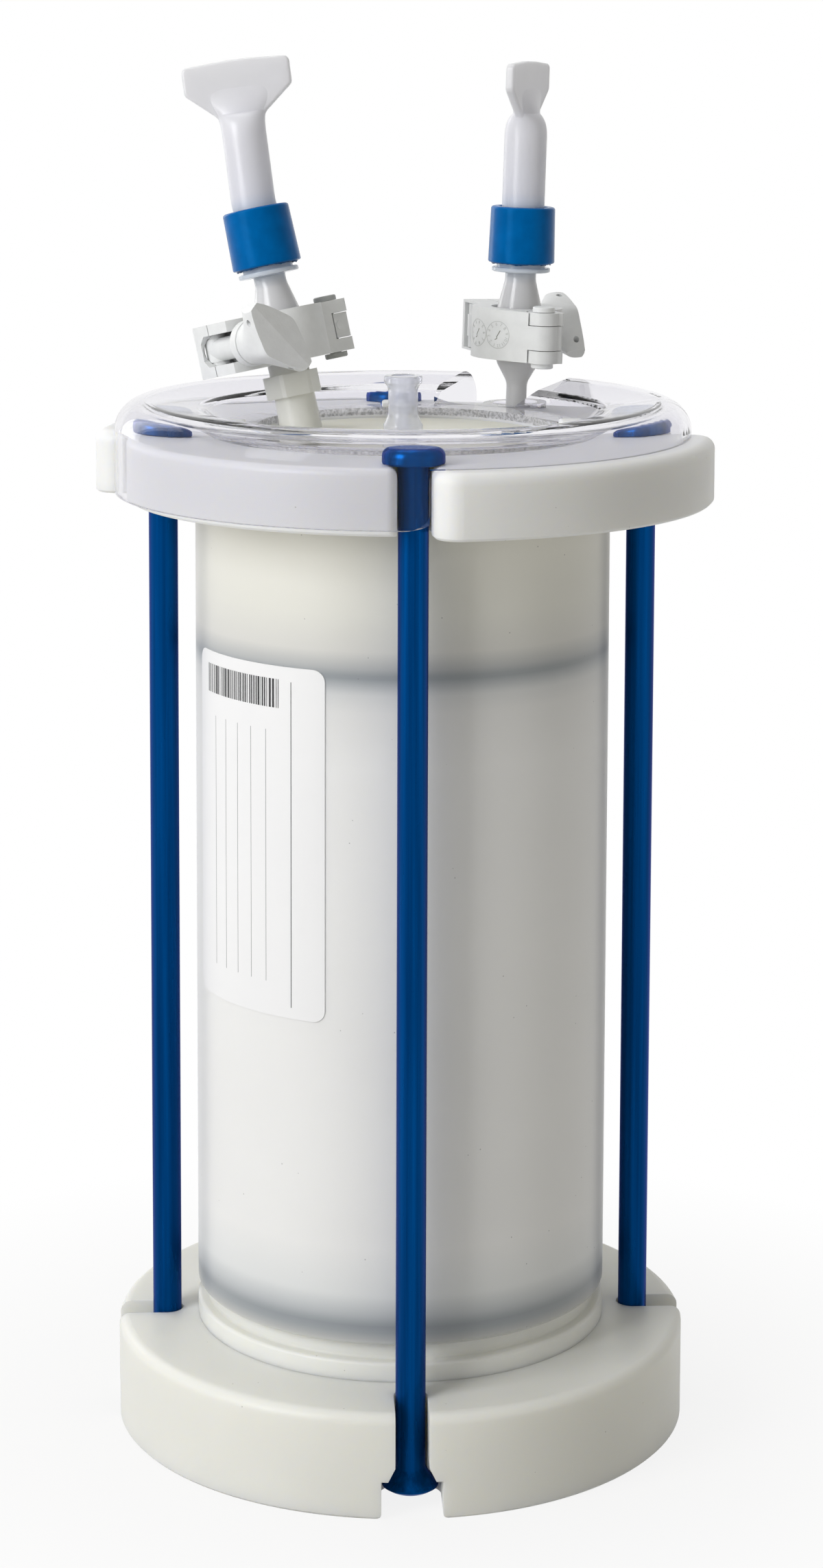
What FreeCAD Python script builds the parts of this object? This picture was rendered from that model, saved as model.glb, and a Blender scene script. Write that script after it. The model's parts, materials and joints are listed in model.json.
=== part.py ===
"""Prepacked chromatography column: a tube of resin between a base and a yoke, under a clear cover.

Millimetres. +Z is up, the origin is the centre of the base's underside, and the front is at -Y.
Each function builds one piece; main() writes each piece to its own file.
"""
import FreeCAD, Part
import math
import os

from FreeCAD import Placement, Rotation, Vector

# Bed and tube
BED_D = 126.0
BED_H = 200.0
TUBE_WALL = 7.0
PLUG_GAP = 0.3
BED_SUPPORT_T = 1.5
CORD_D = 4.8
CORD_GAP = 0.1

# Base plate
BASE_OVER_ROD = 16.5
BASE_H = 35.0
BASE_ROUNDING = 3.5
BASE_CHAMFER = 0.8

# Bottom lid
LID_RING_OVER_TUBE = 0.0
LID_RING_H = 6.5
LID_NECK_WALL = 3.0
LID_NECK_H = 5.7
LID_PLUG_H = 11.3
LID_CORD_UP = 4.8

# Top adapter
ADAPTER_PLUG_H = 64.7
ADAPTER_CORD_UP = 5.5
ADAPTER_HUB_INSET = 13.3
ADAPTER_HUB_DROP = 1.0
ADAPTER_WAIST = 1.2

# Top yoke
YOKE_H = 21.5
YOKE_SEAT_H = 7.2
YOKE_SEAT_GAP = 0.15
YOKE_BORE_GAP = 0.3
SMALL_OVER_ROD = 12.2
LOBE_OVER_ROD = 24.0
LOBE_CORNER = 8.0
LOBE_ROUNDING = 4.0
SMALL_CORNER = 3.0
YOKE_CHAMFER = 0.8
LUG_L = 8.2
LUG_W = 10.0
LUG_H = 4.0
LUG_OVER_HUB = 7.3

# Tie rods
ROD_OVER_TUBE = 10.8
ROD_D = 9.8
ROD_NECK_OVER = 0.4
ROD_NECK_H = 8.0
ROD_HEAD_OVER = 5.1
ROD_HEAD_H = 5.5
ROD_FOOT_OVER = 4.3
ROD_FOOT_Z = 2.2
ROD_FOOT_DOME = 3.1
ROD_FOOT_CONE = 5.2
ROD_RIM = 0.6
ROD_SLOT_GAP = 0.6
RECESS_GAP = 0.8
RECESS_H = 12.6
SEAT_FLARE = 2.3
SEAT_H = 4.6
RECESS_ROUNDING = 2.0
SEAT_GAP = 0.05

# Clear cover
COVER_T = 2.6
COVER_GAP = 1.4
COVER_OVER_HUB = 0.7
CROWN_H = 11.5
CROWN_LUG_GAP = 0.9
CROWN_SLOPE_W = 5.5
CROWN_SHOULDER_H = 8.6
CROWN_EDGE_R = 11.0
SKIRT_H = 19.2
SKIRT_OVERLAP = 4.4
SKIRT_CORNER = 6.0
LUG_WINDOW_GAP = 0.4
CUT_AZIMUTH = 30.0
CUT_LEFT = 19.5
CUT_RIGHT_FOOT = 11.5
CUT_RIGHT_TOP = 25.0
LINE_HOLE_D = 16.3
LINE_TAB_W = 3.4

# Vent fitting
VENT_H = 20.2
VENT_TOP_D = 13.0
VENT_WAIST_D = 10.0
VENT_FOOT_D = 13.4
VENT_BORE_D = 8.0
VENT_BORE_H = 10.0
VENT_CHANNEL_D = 4.0
VENT_SPIGOT_D = 8.0
VENT_SPIGOT_H = 8.0
SOCKET_GAP = 0.1

# Label
LABEL_T = 0.3
LABEL_FROM = -164.0
LABEL_SWEEP = 50.9
LABEL_Z = 154.8
LABEL_H = 116.5
LABEL_CORNER = 4.0
LABEL_GAP = 0.05

# Lines: the lean of each axis, and the turn of the two lines about the column
LINE_TURN = -2.5
LEFT_FOOT_INSET = 14.494
LEFT_AZIMUTH = 164.345
LEFT_LEAN = -12.0
LEFT_LEAN_BACK = 5.5
LEFT_CLAMP_UP = 32.8
RIGHT_AZIMUTH = 34.5
RIGHT_LEAN = 1.7
RIGHT_CLAMP_UP = 28.0
FLOW_D = 4.6

# Riser and its socket in the lid
RISER_D = 7.3
RISER_HOLE_D = 7.9
RISER_WEB = 1.2
RISER_SOCKET_H = 8.0
RISER_TOP_UP = 7.5
BOSS_R = 6.5
BOSS_H = 12.0
STOP_D = 11.0
STOP_H = 1.6

# Hygienic joint
FERRULE_D = 25.0
FERRULE_EDGE = 1.3
FERRULE_TAPER = 20.0
GASKET_T = 2.0
LEFT_SOCKET_D = 12.0
LEFT_SOCKET_H = 8.0
LEFT_FOOT_D = 14.3
LEFT_NECK_D = 13.8
BAND_UP = 12.4
BAND_H = 7.8
BAND_FLATS = 17.0
BELL_OPEN_D = 16.4
BELL_NECK_D = 10.9
BELL_RING_UP = 21.4
BELL_RING_D = 20.6
BELL_RING_T = 1.6
HUB_D = 17.2
HUB_H = 3.4
STEM_D = 11.8
STEM_H = 14.0
BELL_WALL = 1.4

# End cap and its collar
COLLAR_UP = 24.6
COLLAR_H = 19.8
COLLAR_TOP_D = 22.6
COLLAR_FOOT_D = 23.5
CAP_D = 15.0
CAP_BORE_D = 12.0
CAP_RISE = 51.2
CAP_BEND_UP = 4.0
CAP_GAP = 0.1
PADDLE_W = 36.8
PADDLE_T = 3.4
PADDLE_H = 10.5
PADDLE_ARCH = 1.2
PADDLE_CORNER = 2.0
PADDLE_EDGE = 1.0
SHOULDER_H = 8.0
PINCH_W = 17.0
PINCH_T = 8.0
LEFT_CAP_BEND = 4.2
LEFT_PADDLE_TURN = 0.0
RIGHT_CAP_BEND = 0.0
RIGHT_PADDLE_TURN = 68.0

# Clamps, in their own frame: u to the hinge, v from the bolt's pivot to its nut, w along the line
CLAMP_H = 17.7
CLAMP_BORE_D = 20.0
CLAMP_RING_R = 16.7
GROOVE_GAP = 0.3
SEAM = 0.4
HINGE_U = 21.0
KNUCKLE_R = 5.5
KNUCKLE_GAP = 0.6
JAW_B_RING_R = 15.2
BLOCK_V = 6.3
BLOCK_END = 4.0
BLOCK_WINDOW = 3.2
BLOCK_GAP = 0.9
MARK_D = 3.4
MARK_DEPTH = 0.5
BLOCK_ROUNDING = 1.0
KNUCKLE_MID_H = 8.4
KNUCKLE_SLIT = 0.25
PIN_D = 4.0
PIN_GAP = 0.08
PIN_HEAD_D = 7.8
PIN_HEAD_H = 1.8
PIN_HEAD_GAP = 0.15
EAR_U = 29.7
EAR_BACK = 9.4
PIVOT_U = 23.5
PIVOT_V = 5.5
TBAR_D = 7.0
TBAR_L = 15.7
TBAR_END_GAP = 0.2
SHANK_D = 7.8
SHANK_GAP = 0.3
WINDOW_OVER = 1.3
WINDOW_CORNER = 2.2
BOLT_SWING = 45.0
FORK_RADIUS = 17.4
BOLT_L = 34.0
RUNNING_GAP = 0.08
COLLAR_RING_D = 15.6
COLLAR_RING_T = 4.4
COLLAR_STEP = 0.5
FACE_GAP = 0.3
SLIDE_GAP = 0.15
NUT_L = 15.2
WING_L = 28.4
WING_W = 16.4
WING_BLUNT = 1.8
WING_START = 9.0
WING_POWER = 1.25
WING_RIDGE = 1.0
WING_HOLE_D = 2.2
WING_HOLE_OUT = 10.8
LEFT_CLAMP_TURN = 38.4
LEFT_WING_TURN = 37.0
RIGHT_CLAMP_TURN = -68.0
RIGHT_WING_TURN = -48.0

# Levels and radii worked out from the sizes above
ORIGIN = Vector(0, 0, 0)
UP = Vector(0, 0, 1)
TINY = 1e-6
BED_R = BED_D / 2
TUBE_R = BED_R + TUBE_WALL
PLUG_R = BED_R - PLUG_GAP
ADAPTER_HUB_R = BED_R - ADAPTER_HUB_INSET
ROD_CIRCLE_R = TUBE_R + ROD_OVER_TUBE
ROD_R = ROD_D / 2
ROD_FOOT_R = ROD_R + ROD_FOOT_OVER
SLOT_W = ROD_D + 2 * ROD_SLOT_GAP
RECESS_W = 2 * (ROD_FOOT_R + RECESS_GAP)
SEAT_W = SLOT_W + 2 * SEAT_FLARE
BASE_R = ROD_CIRCLE_R + BASE_OVER_ROD
YOKE_SMALL_R = ROD_CIRCLE_R + SMALL_OVER_ROD
LOBE_R = ROD_CIRCLE_R + LOBE_OVER_ROD
LUG_MID_R = ADAPTER_HUB_R + LUG_OVER_HUB
COVER_R = YOKE_SMALL_R + COVER_GAP + COVER_T
COVER_HOLE_R = ADAPTER_HUB_R - COVER_OVER_HUB
CROWN_FOOT_R = LUG_MID_R + LUG_L / 2 + CROWN_LUG_GAP
CROWN_SHOULDER_R = CROWN_FOOT_R + CROWN_SLOPE_W
TUBE_FOOT = BASE_H + LID_RING_H + LID_NECK_H
BED_FOOT = TUBE_FOOT + LID_PLUG_H + BED_SUPPORT_T
BED_TOP = BED_FOOT + BED_H
ADAPTER_FOOT = BED_TOP + BED_SUPPORT_T
TUBE_TOP = ADAPTER_FOOT + ADAPTER_PLUG_H
YOKE_FOOT = TUBE_TOP - YOKE_SEAT_H
YOKE_TOP = YOKE_FOOT + YOKE_H
HUB_TOP = YOKE_TOP - ADAPTER_HUB_DROP
FLANGE_TOP = YOKE_TOP + COVER_T
CORD_MID_R = BED_R - CORD_GAP - CORD_D / 2
CORD_GROOVE_R = CORD_MID_R - CORD_D / 2 - CORD_GAP
RISER_CIRCLE_R = TUBE_R + YOKE_SEAT_GAP + RISER_WEB + RISER_HOLE_D / 2
RISER_SPOT = Rotation(UP, -RIGHT_AZIMUTH).multVec(Vector(0, RISER_CIRCLE_R, 0))
RISER_TOP = YOKE_FOOT + RISER_TOP_UP
FERRULE_R = FERRULE_D / 2


def in_xz(a, b):
    return Vector(a, 0, b)


def in_xy(a, b):
    return Vector(a, b, 0)


def rounding(before, here, after, radius):
    """Start, middle and end of the arc that rounds one corner of an outline."""
    back = (before - here).normalize()
    ahead = (after - here).normalize()
    half = back.getAngle(ahead) / 2
    reach = radius / math.tan(half)
    depth = radius / math.sin(half) - radius
    middle = (back + ahead).normalize() * depth
    return here + back * reach, here + middle, here + ahead * reach


def outline(corners, flat=in_xz, closed=True):
    """Wire through corners given as (a, b) or, to round one, as (a, b, radius)."""
    spots = [flat(corner[0], corner[1]) for corner in corners]
    edges = []
    first = last = None
    for i, corner in enumerate(corners):
        start = end = spots[i]
        arc = None
        if len(corner) == 3:
            start, middle, end = rounding(spots[i - 1], spots[i], spots[(i + 1) % len(spots)], corner[2])
            arc = Part.Arc(start, middle, end).toShape()
        if last is None:
            first = start
        elif (start - last).Length > TINY:
            edges.append(Part.LineSegment(last, start).toShape())
        if arc:
            edges.append(arc)
        last = end
    if closed and (first - last).Length > TINY:
        edges.append(Part.LineSegment(last, first).toShape())
    return Part.Wire(edges)


def turned(corners):
    """Solid of revolution about Z from an outline of (radius, height) corners."""
    return Part.Face(outline(corners)).revolve(ORIGIN, UP, 360)


def prism(corners, low, high):
    """Upright solid from an outline in plan."""
    face = Part.Face(outline(corners, in_xy))
    face.translate(Vector(0, 0, low))
    return face.extrude(Vector(0, 0, high - low))


def cylinder(radius, low, high, x=0.0, y=0.0):
    return Part.makeCylinder(radius, high - low, Vector(x, y, low))


def box(x0, x1, y0, y1, z0, z1):
    return Part.makeBox(x1 - x0, y1 - y0, z1 - z0, Vector(x0, y0, z0))


def turned_copy(shape, degrees, axis=UP):
    copy = shape.copy()
    copy.rotate(ORIGIN, axis, degrees)
    return copy


def around(shape, count=4):
    """Copies of a shape spread evenly about the column's axis."""
    return [turned_copy(shape, 360.0 * i / count) for i in range(count)]


def is_upright(edge):
    """Whether an edge runs straight up, and how far it lies from the axis."""
    ends = [vertex.Point for vertex in edge.Vertexes]
    if len(ends) != 2:
        return None
    if math.hypot(ends[0].x - ends[1].x, ends[0].y - ends[1].y) > TINY:
        return None
    return math.hypot(ends[0].x, ends[0].y)


def oval(half_length, half_width, power, height):
    """Smooth closed wire: 2 is an ellipse, less is nearer a rhombus, more is nearer a rectangle."""
    count = 24
    points = []
    for i in range(count):
        angle = 2 * math.pi * i / count
        c, s = math.cos(angle), math.sin(angle)
        scale = (abs(c) ** power + abs(s) ** power) ** (-1 / power)
        points.append(Vector(half_length * scale * c, half_width * scale * s, height))
    curve = Part.BSplineCurve()
    curve.interpolate(Points=points, PeriodicFlag=True)
    return Part.Wire(curve.toShape())


def radial_slot(width, low, high):
    """Slot from the rod's place out past the rim, with a round inner end."""
    run = box(ROD_CIRCLE_R, LOBE_R + 1, -width / 2, width / 2, low, high)
    return cylinder(width / 2, low, high, ROD_CIRCLE_R).fuse(run)


def radial_taper(low_width, high_width, low, high):
    """Slot as above, with walls that lean in towards its top."""
    half_low, half_high = low_width / 2, high_width / 2
    section = outline([(-half_low, low), (half_low, low), (half_high, high), (-half_high, high)],
                      lambda a, b: Vector(ROD_CIRCLE_R, a, b))
    return Part.Face(section).extrude(Vector(LOBE_R + 1 - ROD_CIRCLE_R, 0, 0))


def base_plate():
    """Plate with a slot for each rod, above a recess whose inner end is a half cone for the rod's flare."""
    body = turned([(0, 0), (BASE_R - BASE_CHAMFER, 0), (BASE_R, BASE_CHAMFER),
                   (BASE_R, BASE_H, BASE_ROUNDING), (0, BASE_H)])
    rim_top = ROD_FOOT_Z + ROD_FOOT_DOME + ROD_RIM
    half = RECESS_W / 2
    well = cylinder(half, -1, rim_top, ROD_CIRCLE_R)
    run = box(ROD_CIRCLE_R, LOBE_R + 1, -half, half, -1, RECESS_H)
    body = body.cut(around(well.fuse(run)))
    mouths = [edge for edge in body.Edges
              if edge.BoundBox.ZMax < TINY and edge.BoundBox.DiagonalLength < BASE_R]
    body = body.makeFillet(RECESS_ROUNDING, mouths)
    flare = Part.makeCone(ROD_FOOT_R + SEAT_GAP, ROD_R + SEAT_GAP, ROD_FOOT_CONE,
                          Vector(ROD_CIRCLE_R, 0, rim_top))
    seats = around(radial_taper(SEAT_W, SLOT_W, RECESS_H, RECESS_H + SEAT_H))
    slots = around(radial_slot(SLOT_W, rim_top, BASE_H + 1))
    return body.cut(around(flare) + seats + slots).removeSplitter()


def cord_groove(middle):
    """Ring to cut for an O-ring whose middle is at this height."""
    half = CORD_D / 2 + CORD_GAP
    return cylinder(BED_R, middle - half, middle + half).cut(
        cylinder(CORD_GROOVE_R, middle - half, middle + half))


def o_ring(middle):
    return Part.makeTorus(CORD_MID_R, CORD_D / 2, Vector(0, 0, middle))


def riser_boss(low, high, radius):
    """Boss beside the lid that takes the riser's foot, with a web back to the lid."""
    boss = cylinder(radius, low, high, RISER_CIRCLE_R)
    return boss.fuse(box(BED_R, RISER_CIRCLE_R, -radius, radius, low, high))


def toward_riser(shape):
    """Turns a shape built along +X to the riser's azimuth."""
    return turned_copy(shape, 90 - RIGHT_AZIMUTH)


def bottom_lid():
    ring_r = TUBE_R + LID_RING_OVER_TUBE
    neck_r = BED_R + LID_NECK_WALL
    ring_top = BASE_H + LID_RING_H
    plug_top = TUBE_FOOT + LID_PLUG_H
    body = turned([(0, BASE_H), (ring_r, BASE_H), (ring_r, ring_top, 1.2), (neck_r, ring_top, 0.8),
                   (neck_r, TUBE_FOOT), (PLUG_R, TUBE_FOOT), (PLUG_R, plug_top), (0, plug_top)])
    body = body.cut(cord_groove(TUBE_FOOT + LID_CORD_UP))
    boss = riser_boss(BASE_H, BASE_H + BOSS_H - SOCKET_GAP, BOSS_R)
    boss = boss.cut(cylinder(neck_r, ring_top, BASE_H + BOSS_H))
    socket_foot = BASE_H + BOSS_H - RISER_SOCKET_H
    socket = cylinder(RISER_D / 2 + SOCKET_GAP, socket_foot, BASE_H + BOSS_H + 1, RISER_CIRCLE_R)
    channel_z = socket_foot + FLOW_D / 2 + 0.4
    channel = Part.makeCylinder(FLOW_D / 2, RISER_CIRCLE_R, Vector(0, 0, channel_z), Vector(1, 0, 0))
    centre = cylinder(FLOW_D / 2, channel_z, plug_top + 1)
    body = body.fuse(toward_riser(boss))
    return body.cut([toward_riser(socket), toward_riser(channel), centre]).removeSplitter()


def column_tube():
    return turned([(BED_R, TUBE_FOOT), (TUBE_R, TUBE_FOOT, 1.5), (TUBE_R, TUBE_TOP), (BED_R, TUBE_TOP)])


def bed_support(low):
    return cylinder(BED_R - SOCKET_GAP, low, low + BED_SUPPORT_T)


def resin_bed():
    return cylinder(BED_R - SOCKET_GAP, BED_FOOT, BED_TOP)


def line_frame(x, y, z, lean, lean_back=0.0):
    """Place of a line's own frame: its foot at the point, Z along the leaning line."""
    back = Rotation(Vector(1, 0, 0), -lean_back)
    turn = Rotation(UP, LINE_TURN).multiply(back).multiply(Rotation(Vector(0, 1, 0), lean))
    return Placement(Vector(x, y, z), turn)


LEFT_SPOT = Rotation(UP, LEFT_AZIMUTH).multVec(Vector(ADAPTER_HUB_R - LEFT_FOOT_INSET, 0, 0))
LEFT_LINE = line_frame(LEFT_SPOT.x, LEFT_SPOT.y, HUB_TOP, LEFT_LEAN, LEFT_LEAN_BACK)
RIGHT_LINE = line_frame(RISER_SPOT.x, RISER_SPOT.y, YOKE_TOP, RIGHT_LEAN)


def placed(shape, place):
    copy = shape.copy()
    copy.Placement = place.multiply(copy.Placement)
    return copy


def top_adapter():
    waist_r = PLUG_R - ADAPTER_WAIST
    waist_low = ADAPTER_FOOT + ADAPTER_CORD_UP + CORD_D + 4
    waist_high = TUBE_TOP - 8
    body = turned([(0, ADAPTER_FOOT), (PLUG_R, ADAPTER_FOOT, 0.8), (PLUG_R, waist_low),
                   (waist_r, waist_low + ADAPTER_WAIST), (waist_r, waist_high - ADAPTER_WAIST),
                   (PLUG_R, waist_high), (PLUG_R, TUBE_TOP), (ADAPTER_HUB_R, TUBE_TOP),
                   (ADAPTER_HUB_R, HUB_TOP, 0.6), (0, HUB_TOP)])
    body = body.cut(cord_groove(ADAPTER_FOOT + ADAPTER_CORD_UP))
    socket = cylinder(LEFT_SOCKET_D / 2 + SOCKET_GAP, -LEFT_SOCKET_H, 5)
    shoulder = cylinder(LEFT_FOOT_D / 2 + SOCKET_GAP, 0, 5)
    socket = placed(socket.fuse(shoulder), LEFT_LINE)
    end = LEFT_LINE.multVec(Vector(0, 0, -LEFT_SOCKET_H))
    channel = cylinder(FLOW_D / 2, ADAPTER_FOOT - 1, end.z + 1, end.x, end.y)
    vent = cylinder(VENT_SPIGOT_D / 2 + SOCKET_GAP, HUB_TOP - VENT_SPIGOT_H, HUB_TOP + 1)
    vent_channel = cylinder(VENT_CHANNEL_D / 2, ADAPTER_FOOT - 1, HUB_TOP)
    return body.cut([socket, channel, vent, vent_channel]).removeSplitter()


def yoke_lobe():
    """One large quadrant of the yoke, rounded all along its top edge."""
    side = SLOT_W / 2
    reach = LOBE_R + 1
    body = cylinder(LOBE_R, YOKE_FOOT, YOKE_TOP).common(box(side, reach, side, reach, YOKE_FOOT, YOKE_TOP))
    corners = [edge for edge in body.Edges if (is_upright(edge) or 0) > LOBE_R - 1]
    body = body.makeFillet(LOBE_CORNER, corners)
    rim = [edge for edge in body.Edges if edge.BoundBox.ZMin > YOKE_TOP - TINY]
    body = body.makeFillet(LOBE_ROUNDING, rim)
    foot = [edge for edge in body.Edges if edge.BoundBox.ZMax < YOKE_FOOT + TINY]
    return body.makeChamfer(YOKE_CHAMFER, foot)


def top_yoke():
    body = turned([(0, YOKE_FOOT), (YOKE_SMALL_R - YOKE_CHAMFER, YOKE_FOOT),
                   (YOKE_SMALL_R, YOKE_FOOT + YOKE_CHAMFER), (YOKE_SMALL_R, YOKE_TOP, 2.5), (0, YOKE_TOP)])
    body = body.cut(around(radial_slot(SLOT_W, YOKE_FOOT - 1, YOKE_TOP + 1)))
    corners = [edge for edge in body.Edges if (is_upright(edge) or 0) > YOKE_SMALL_R - 1]
    corners = [edge for edge in corners if edge.CenterOfMass.x * edge.CenterOfMass.y > 0]
    body = body.makeFillet(SMALL_CORNER, corners)
    lobe = yoke_lobe()
    body = body.fuse([turned_copy(lobe, -90), turned_copy(lobe, 90)])
    lug = box(LUG_MID_R - LUG_L / 2, LUG_MID_R + LUG_L / 2, -LUG_W / 2, LUG_W / 2,
              YOKE_TOP - 1, YOKE_TOP + LUG_H)
    tops = [edge for edge in lug.Edges if edge.BoundBox.ZMin > YOKE_TOP + LUG_H - TINY]
    body = body.fuse(around(lug.makeFillet(1.2, tops)))
    body = body.cut([cylinder(ADAPTER_HUB_R + YOKE_BORE_GAP, YOKE_FOOT - 1, YOKE_TOP + 1),
                     cylinder(TUBE_R + YOKE_SEAT_GAP, YOKE_FOOT - 1, TUBE_TOP),
                     cylinder(RISER_HOLE_D / 2, YOKE_FOOT - 1, YOKE_TOP + 1, RISER_SPOT.x, RISER_SPOT.y)])
    return body.removeSplitter()


def tie_rod():
    """Rod along Z at the origin: domed, flared foot, shank, widened neck and round head."""
    foot_r, rod_r, head_r = ROD_FOOT_R, ROD_R, ROD_R + ROD_HEAD_OVER
    rim_low = ROD_FOOT_Z + ROD_FOOT_DOME
    rim_high = rim_low + ROD_RIM
    cone_top = rim_high + ROD_FOOT_CONE
    head_top = YOKE_TOP + ROD_HEAD_H
    dome_r = (foot_r ** 2 + ROD_FOOT_DOME ** 2) / (2 * ROD_FOOT_DOME)
    bulge = dome_r - math.sqrt(dome_r ** 2 - (foot_r / 2) ** 2)
    dome = Part.Arc(in_xz(0, ROD_FOOT_Z), in_xz(foot_r / 2, ROD_FOOT_Z + bulge), in_xz(foot_r, rim_low))
    side = outline([(foot_r, rim_low), (foot_r, rim_high), (rod_r, cone_top, 2),
                    (rod_r, YOKE_TOP - ROD_NECK_H), (rod_r + ROD_NECK_OVER, YOKE_TOP),
                    (head_r, YOKE_TOP, 0.8), (head_r, head_top, 2.8), (0, head_top)], closed=False)
    middle = Part.LineSegment(in_xz(0, head_top), in_xz(0, ROD_FOOT_Z))
    section = Part.Wire([dome.toShape()] + side.Edges + [middle.toShape()])
    return Part.Face(section).revolve(ORIGIN, UP, 360)


def crown_skin():
    """Outer skin of the cover's section, from the edge of its hole to its rim."""
    crest = YOKE_TOP + CROWN_H
    corners = [(COVER_HOLE_R, FLANGE_TOP), (CROWN_FOOT_R, FLANGE_TOP, 3.2),
               (CROWN_SHOULDER_R, YOKE_TOP + CROWN_SHOULDER_H, 5.0),
               (COVER_R - CROWN_EDGE_R, crest, 11.0), (COVER_R, crest, CROWN_EDGE_R - 1), (COVER_R, YOKE_TOP)]
    return corners


def cover_section():
    """Face between the skin and the same skin moved in by the sheet's thickness."""
    crest = YOKE_TOP + CROWN_H
    slope = math.atan2(CROWN_SHOULDER_H - COVER_T, CROWN_SHOULDER_R - CROWN_FOOT_R)
    roof = math.atan2(CROWN_H - CROWN_SHOULDER_H, COVER_R - CROWN_EDGE_R - CROWN_SHOULDER_R)
    foot_in = COVER_T * math.tan(slope / 2)
    shoulder_in = COVER_T * math.tan((slope + roof) / 2)
    inner = [(COVER_R - COVER_T, YOKE_TOP), (COVER_R - COVER_T, crest - COVER_T, CROWN_EDGE_R - 1 - COVER_T),
             (COVER_R - CROWN_EDGE_R, crest - COVER_T, 8.4),
             (CROWN_SHOULDER_R + shoulder_in, YOKE_TOP + CROWN_SHOULDER_H - COVER_T, 2.4),
             (CROWN_FOOT_R + foot_in, YOKE_TOP, 5.0), (COVER_HOLE_R, YOKE_TOP)]
    return crown_skin() + inner


def cover_skirt():
    """Skirt over one small lobe, in the quadrant between +X and +Y, with rounded lower corners."""
    foot = YOKE_TOP - SKIRT_H
    inner_r = COVER_R - COVER_T
    ring = cylinder(COVER_R, foot, YOKE_TOP + 0.5).cut(cylinder(inner_r, foot, YOKE_TOP + 0.5))
    half = (COVER_R + SKIRT_OVERLAP) / math.sqrt(2)
    face = outline([(-half, foot, SKIRT_CORNER), (half, foot, SKIRT_CORNER), (half, YOKE_TOP + 2),
                    (-half, YOKE_TOP + 2)])
    slab = turned_copy(Part.Face(face).extrude(Vector(0, COVER_R + 1, 0)), -45)
    ends = box(-SKIRT_OVERLAP, COVER_R, -SKIRT_OVERLAP, COVER_R, foot, YOKE_TOP + 1)
    return ring.common(slab).common(ends)


def line_cutaway():
    """Space left out of the crown for the right line: upright on its left, sloping on its right."""
    high = YOKE_TOP + CROWN_H + 2
    section = [(-CUT_LEFT, YOKE_TOP), (CUT_RIGHT_FOOT, YOKE_TOP), (CUT_RIGHT_FOOT, FLANGE_TOP),
               (CUT_RIGHT_TOP, high), (-CUT_LEFT, high)]
    block = Part.Face(outline(section)).extrude(Vector(0, LOBE_R, 0))
    block.translate(Vector(0, CROWN_FOOT_R - 1, 0))
    return turned_copy(block, -CUT_AZIMUTH)


def clear_cover():
    body = turned(cover_section())
    skirt = cover_skirt()
    body = body.fuse([skirt, turned_copy(skirt, 180)])
    flange = cylinder(CROWN_FOOT_R + 6, YOKE_TOP, FLANGE_TOP)
    tab = cylinder(LINE_HOLE_D / 2 + LINE_TAB_W, YOKE_TOP, FLANGE_TOP, RISER_SPOT.x, RISER_SPOT.y)
    cutaway = line_cutaway()
    floor = cutaway.common(flange.cut(cylinder(CROWN_FOOT_R - 2, YOKE_TOP, FLANGE_TOP)))
    body = body.cut(cutaway).fuse([floor, tab])
    side = LUG_W / 2 + LUG_WINDOW_GAP
    reach = LUG_L / 2 + LUG_WINDOW_GAP
    window = box(LUG_MID_R - reach, LUG_MID_R + reach, -side, side, YOKE_TOP - 1, FLANGE_TOP + 1)
    hole = cylinder(LINE_HOLE_D / 2, YOKE_TOP - 1, FLANGE_TOP + 1, RISER_SPOT.x, RISER_SPOT.y)
    return body.cut(around(window) + [hole]).removeSplitter()


def vent_fitting():
    top = HUB_TOP + VENT_H
    top_r, waist_r, foot_r = VENT_TOP_D / 2, VENT_WAIST_D / 2, VENT_FOOT_D / 2
    spigot_r, bore_r, channel_r = VENT_SPIGOT_D / 2, VENT_BORE_D / 2, VENT_CHANNEL_D / 2
    spigot_foot = HUB_TOP - VENT_SPIGOT_H
    bore_foot = top - VENT_BORE_H
    return turned([(channel_r, spigot_foot), (spigot_r, spigot_foot, 0.5), (spigot_r, HUB_TOP),
                   (foot_r, HUB_TOP), (foot_r, HUB_TOP + 3.4, 1.2), (waist_r, HUB_TOP + 7.0, 4.0),
                   (waist_r, top - 4.2, 4.0), (top_r, top - 2.2, 0.9), (top_r, top, 0.7),
                   (bore_r, top), (bore_r, bore_foot), (channel_r, bore_foot - 4)])


def column_label():
    """Thin curved sticker on the tube, with rounded corners."""
    inner_r = TUBE_R + LABEL_GAP
    outer_r = inner_r + LABEL_T
    ring = cylinder(outer_r, LABEL_Z, LABEL_Z + LABEL_H).cut(cylinder(inner_r, LABEL_Z, LABEL_Z + LABEL_H))
    half = outer_r * math.sin(math.radians(LABEL_SWEEP / 2))
    face = outline([(-half, LABEL_Z, LABEL_CORNER), (half, LABEL_Z, LABEL_CORNER),
                    (half, LABEL_Z + LABEL_H, LABEL_CORNER), (-half, LABEL_Z + LABEL_H, LABEL_CORNER)])
    slab = Part.Face(face).extrude(Vector(0, outer_r + 1, 0))
    middle = LABEL_FROM + LABEL_SWEEP / 2
    return ring.common(turned_copy(slab, middle - 90))


def outlet_riser():
    """Tube behind the column, from the lid's boss up to the right adapter's stem in the yoke."""
    low = BASE_H + BOSS_H - RISER_SOCKET_H
    tube = cylinder(RISER_D / 2, low, RISER_TOP, RISER_SPOT.x, RISER_SPOT.y)
    return tube.cut(cylinder(FLOW_D / 2, low, RISER_TOP, RISER_SPOT.x, RISER_SPOT.y))


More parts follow.
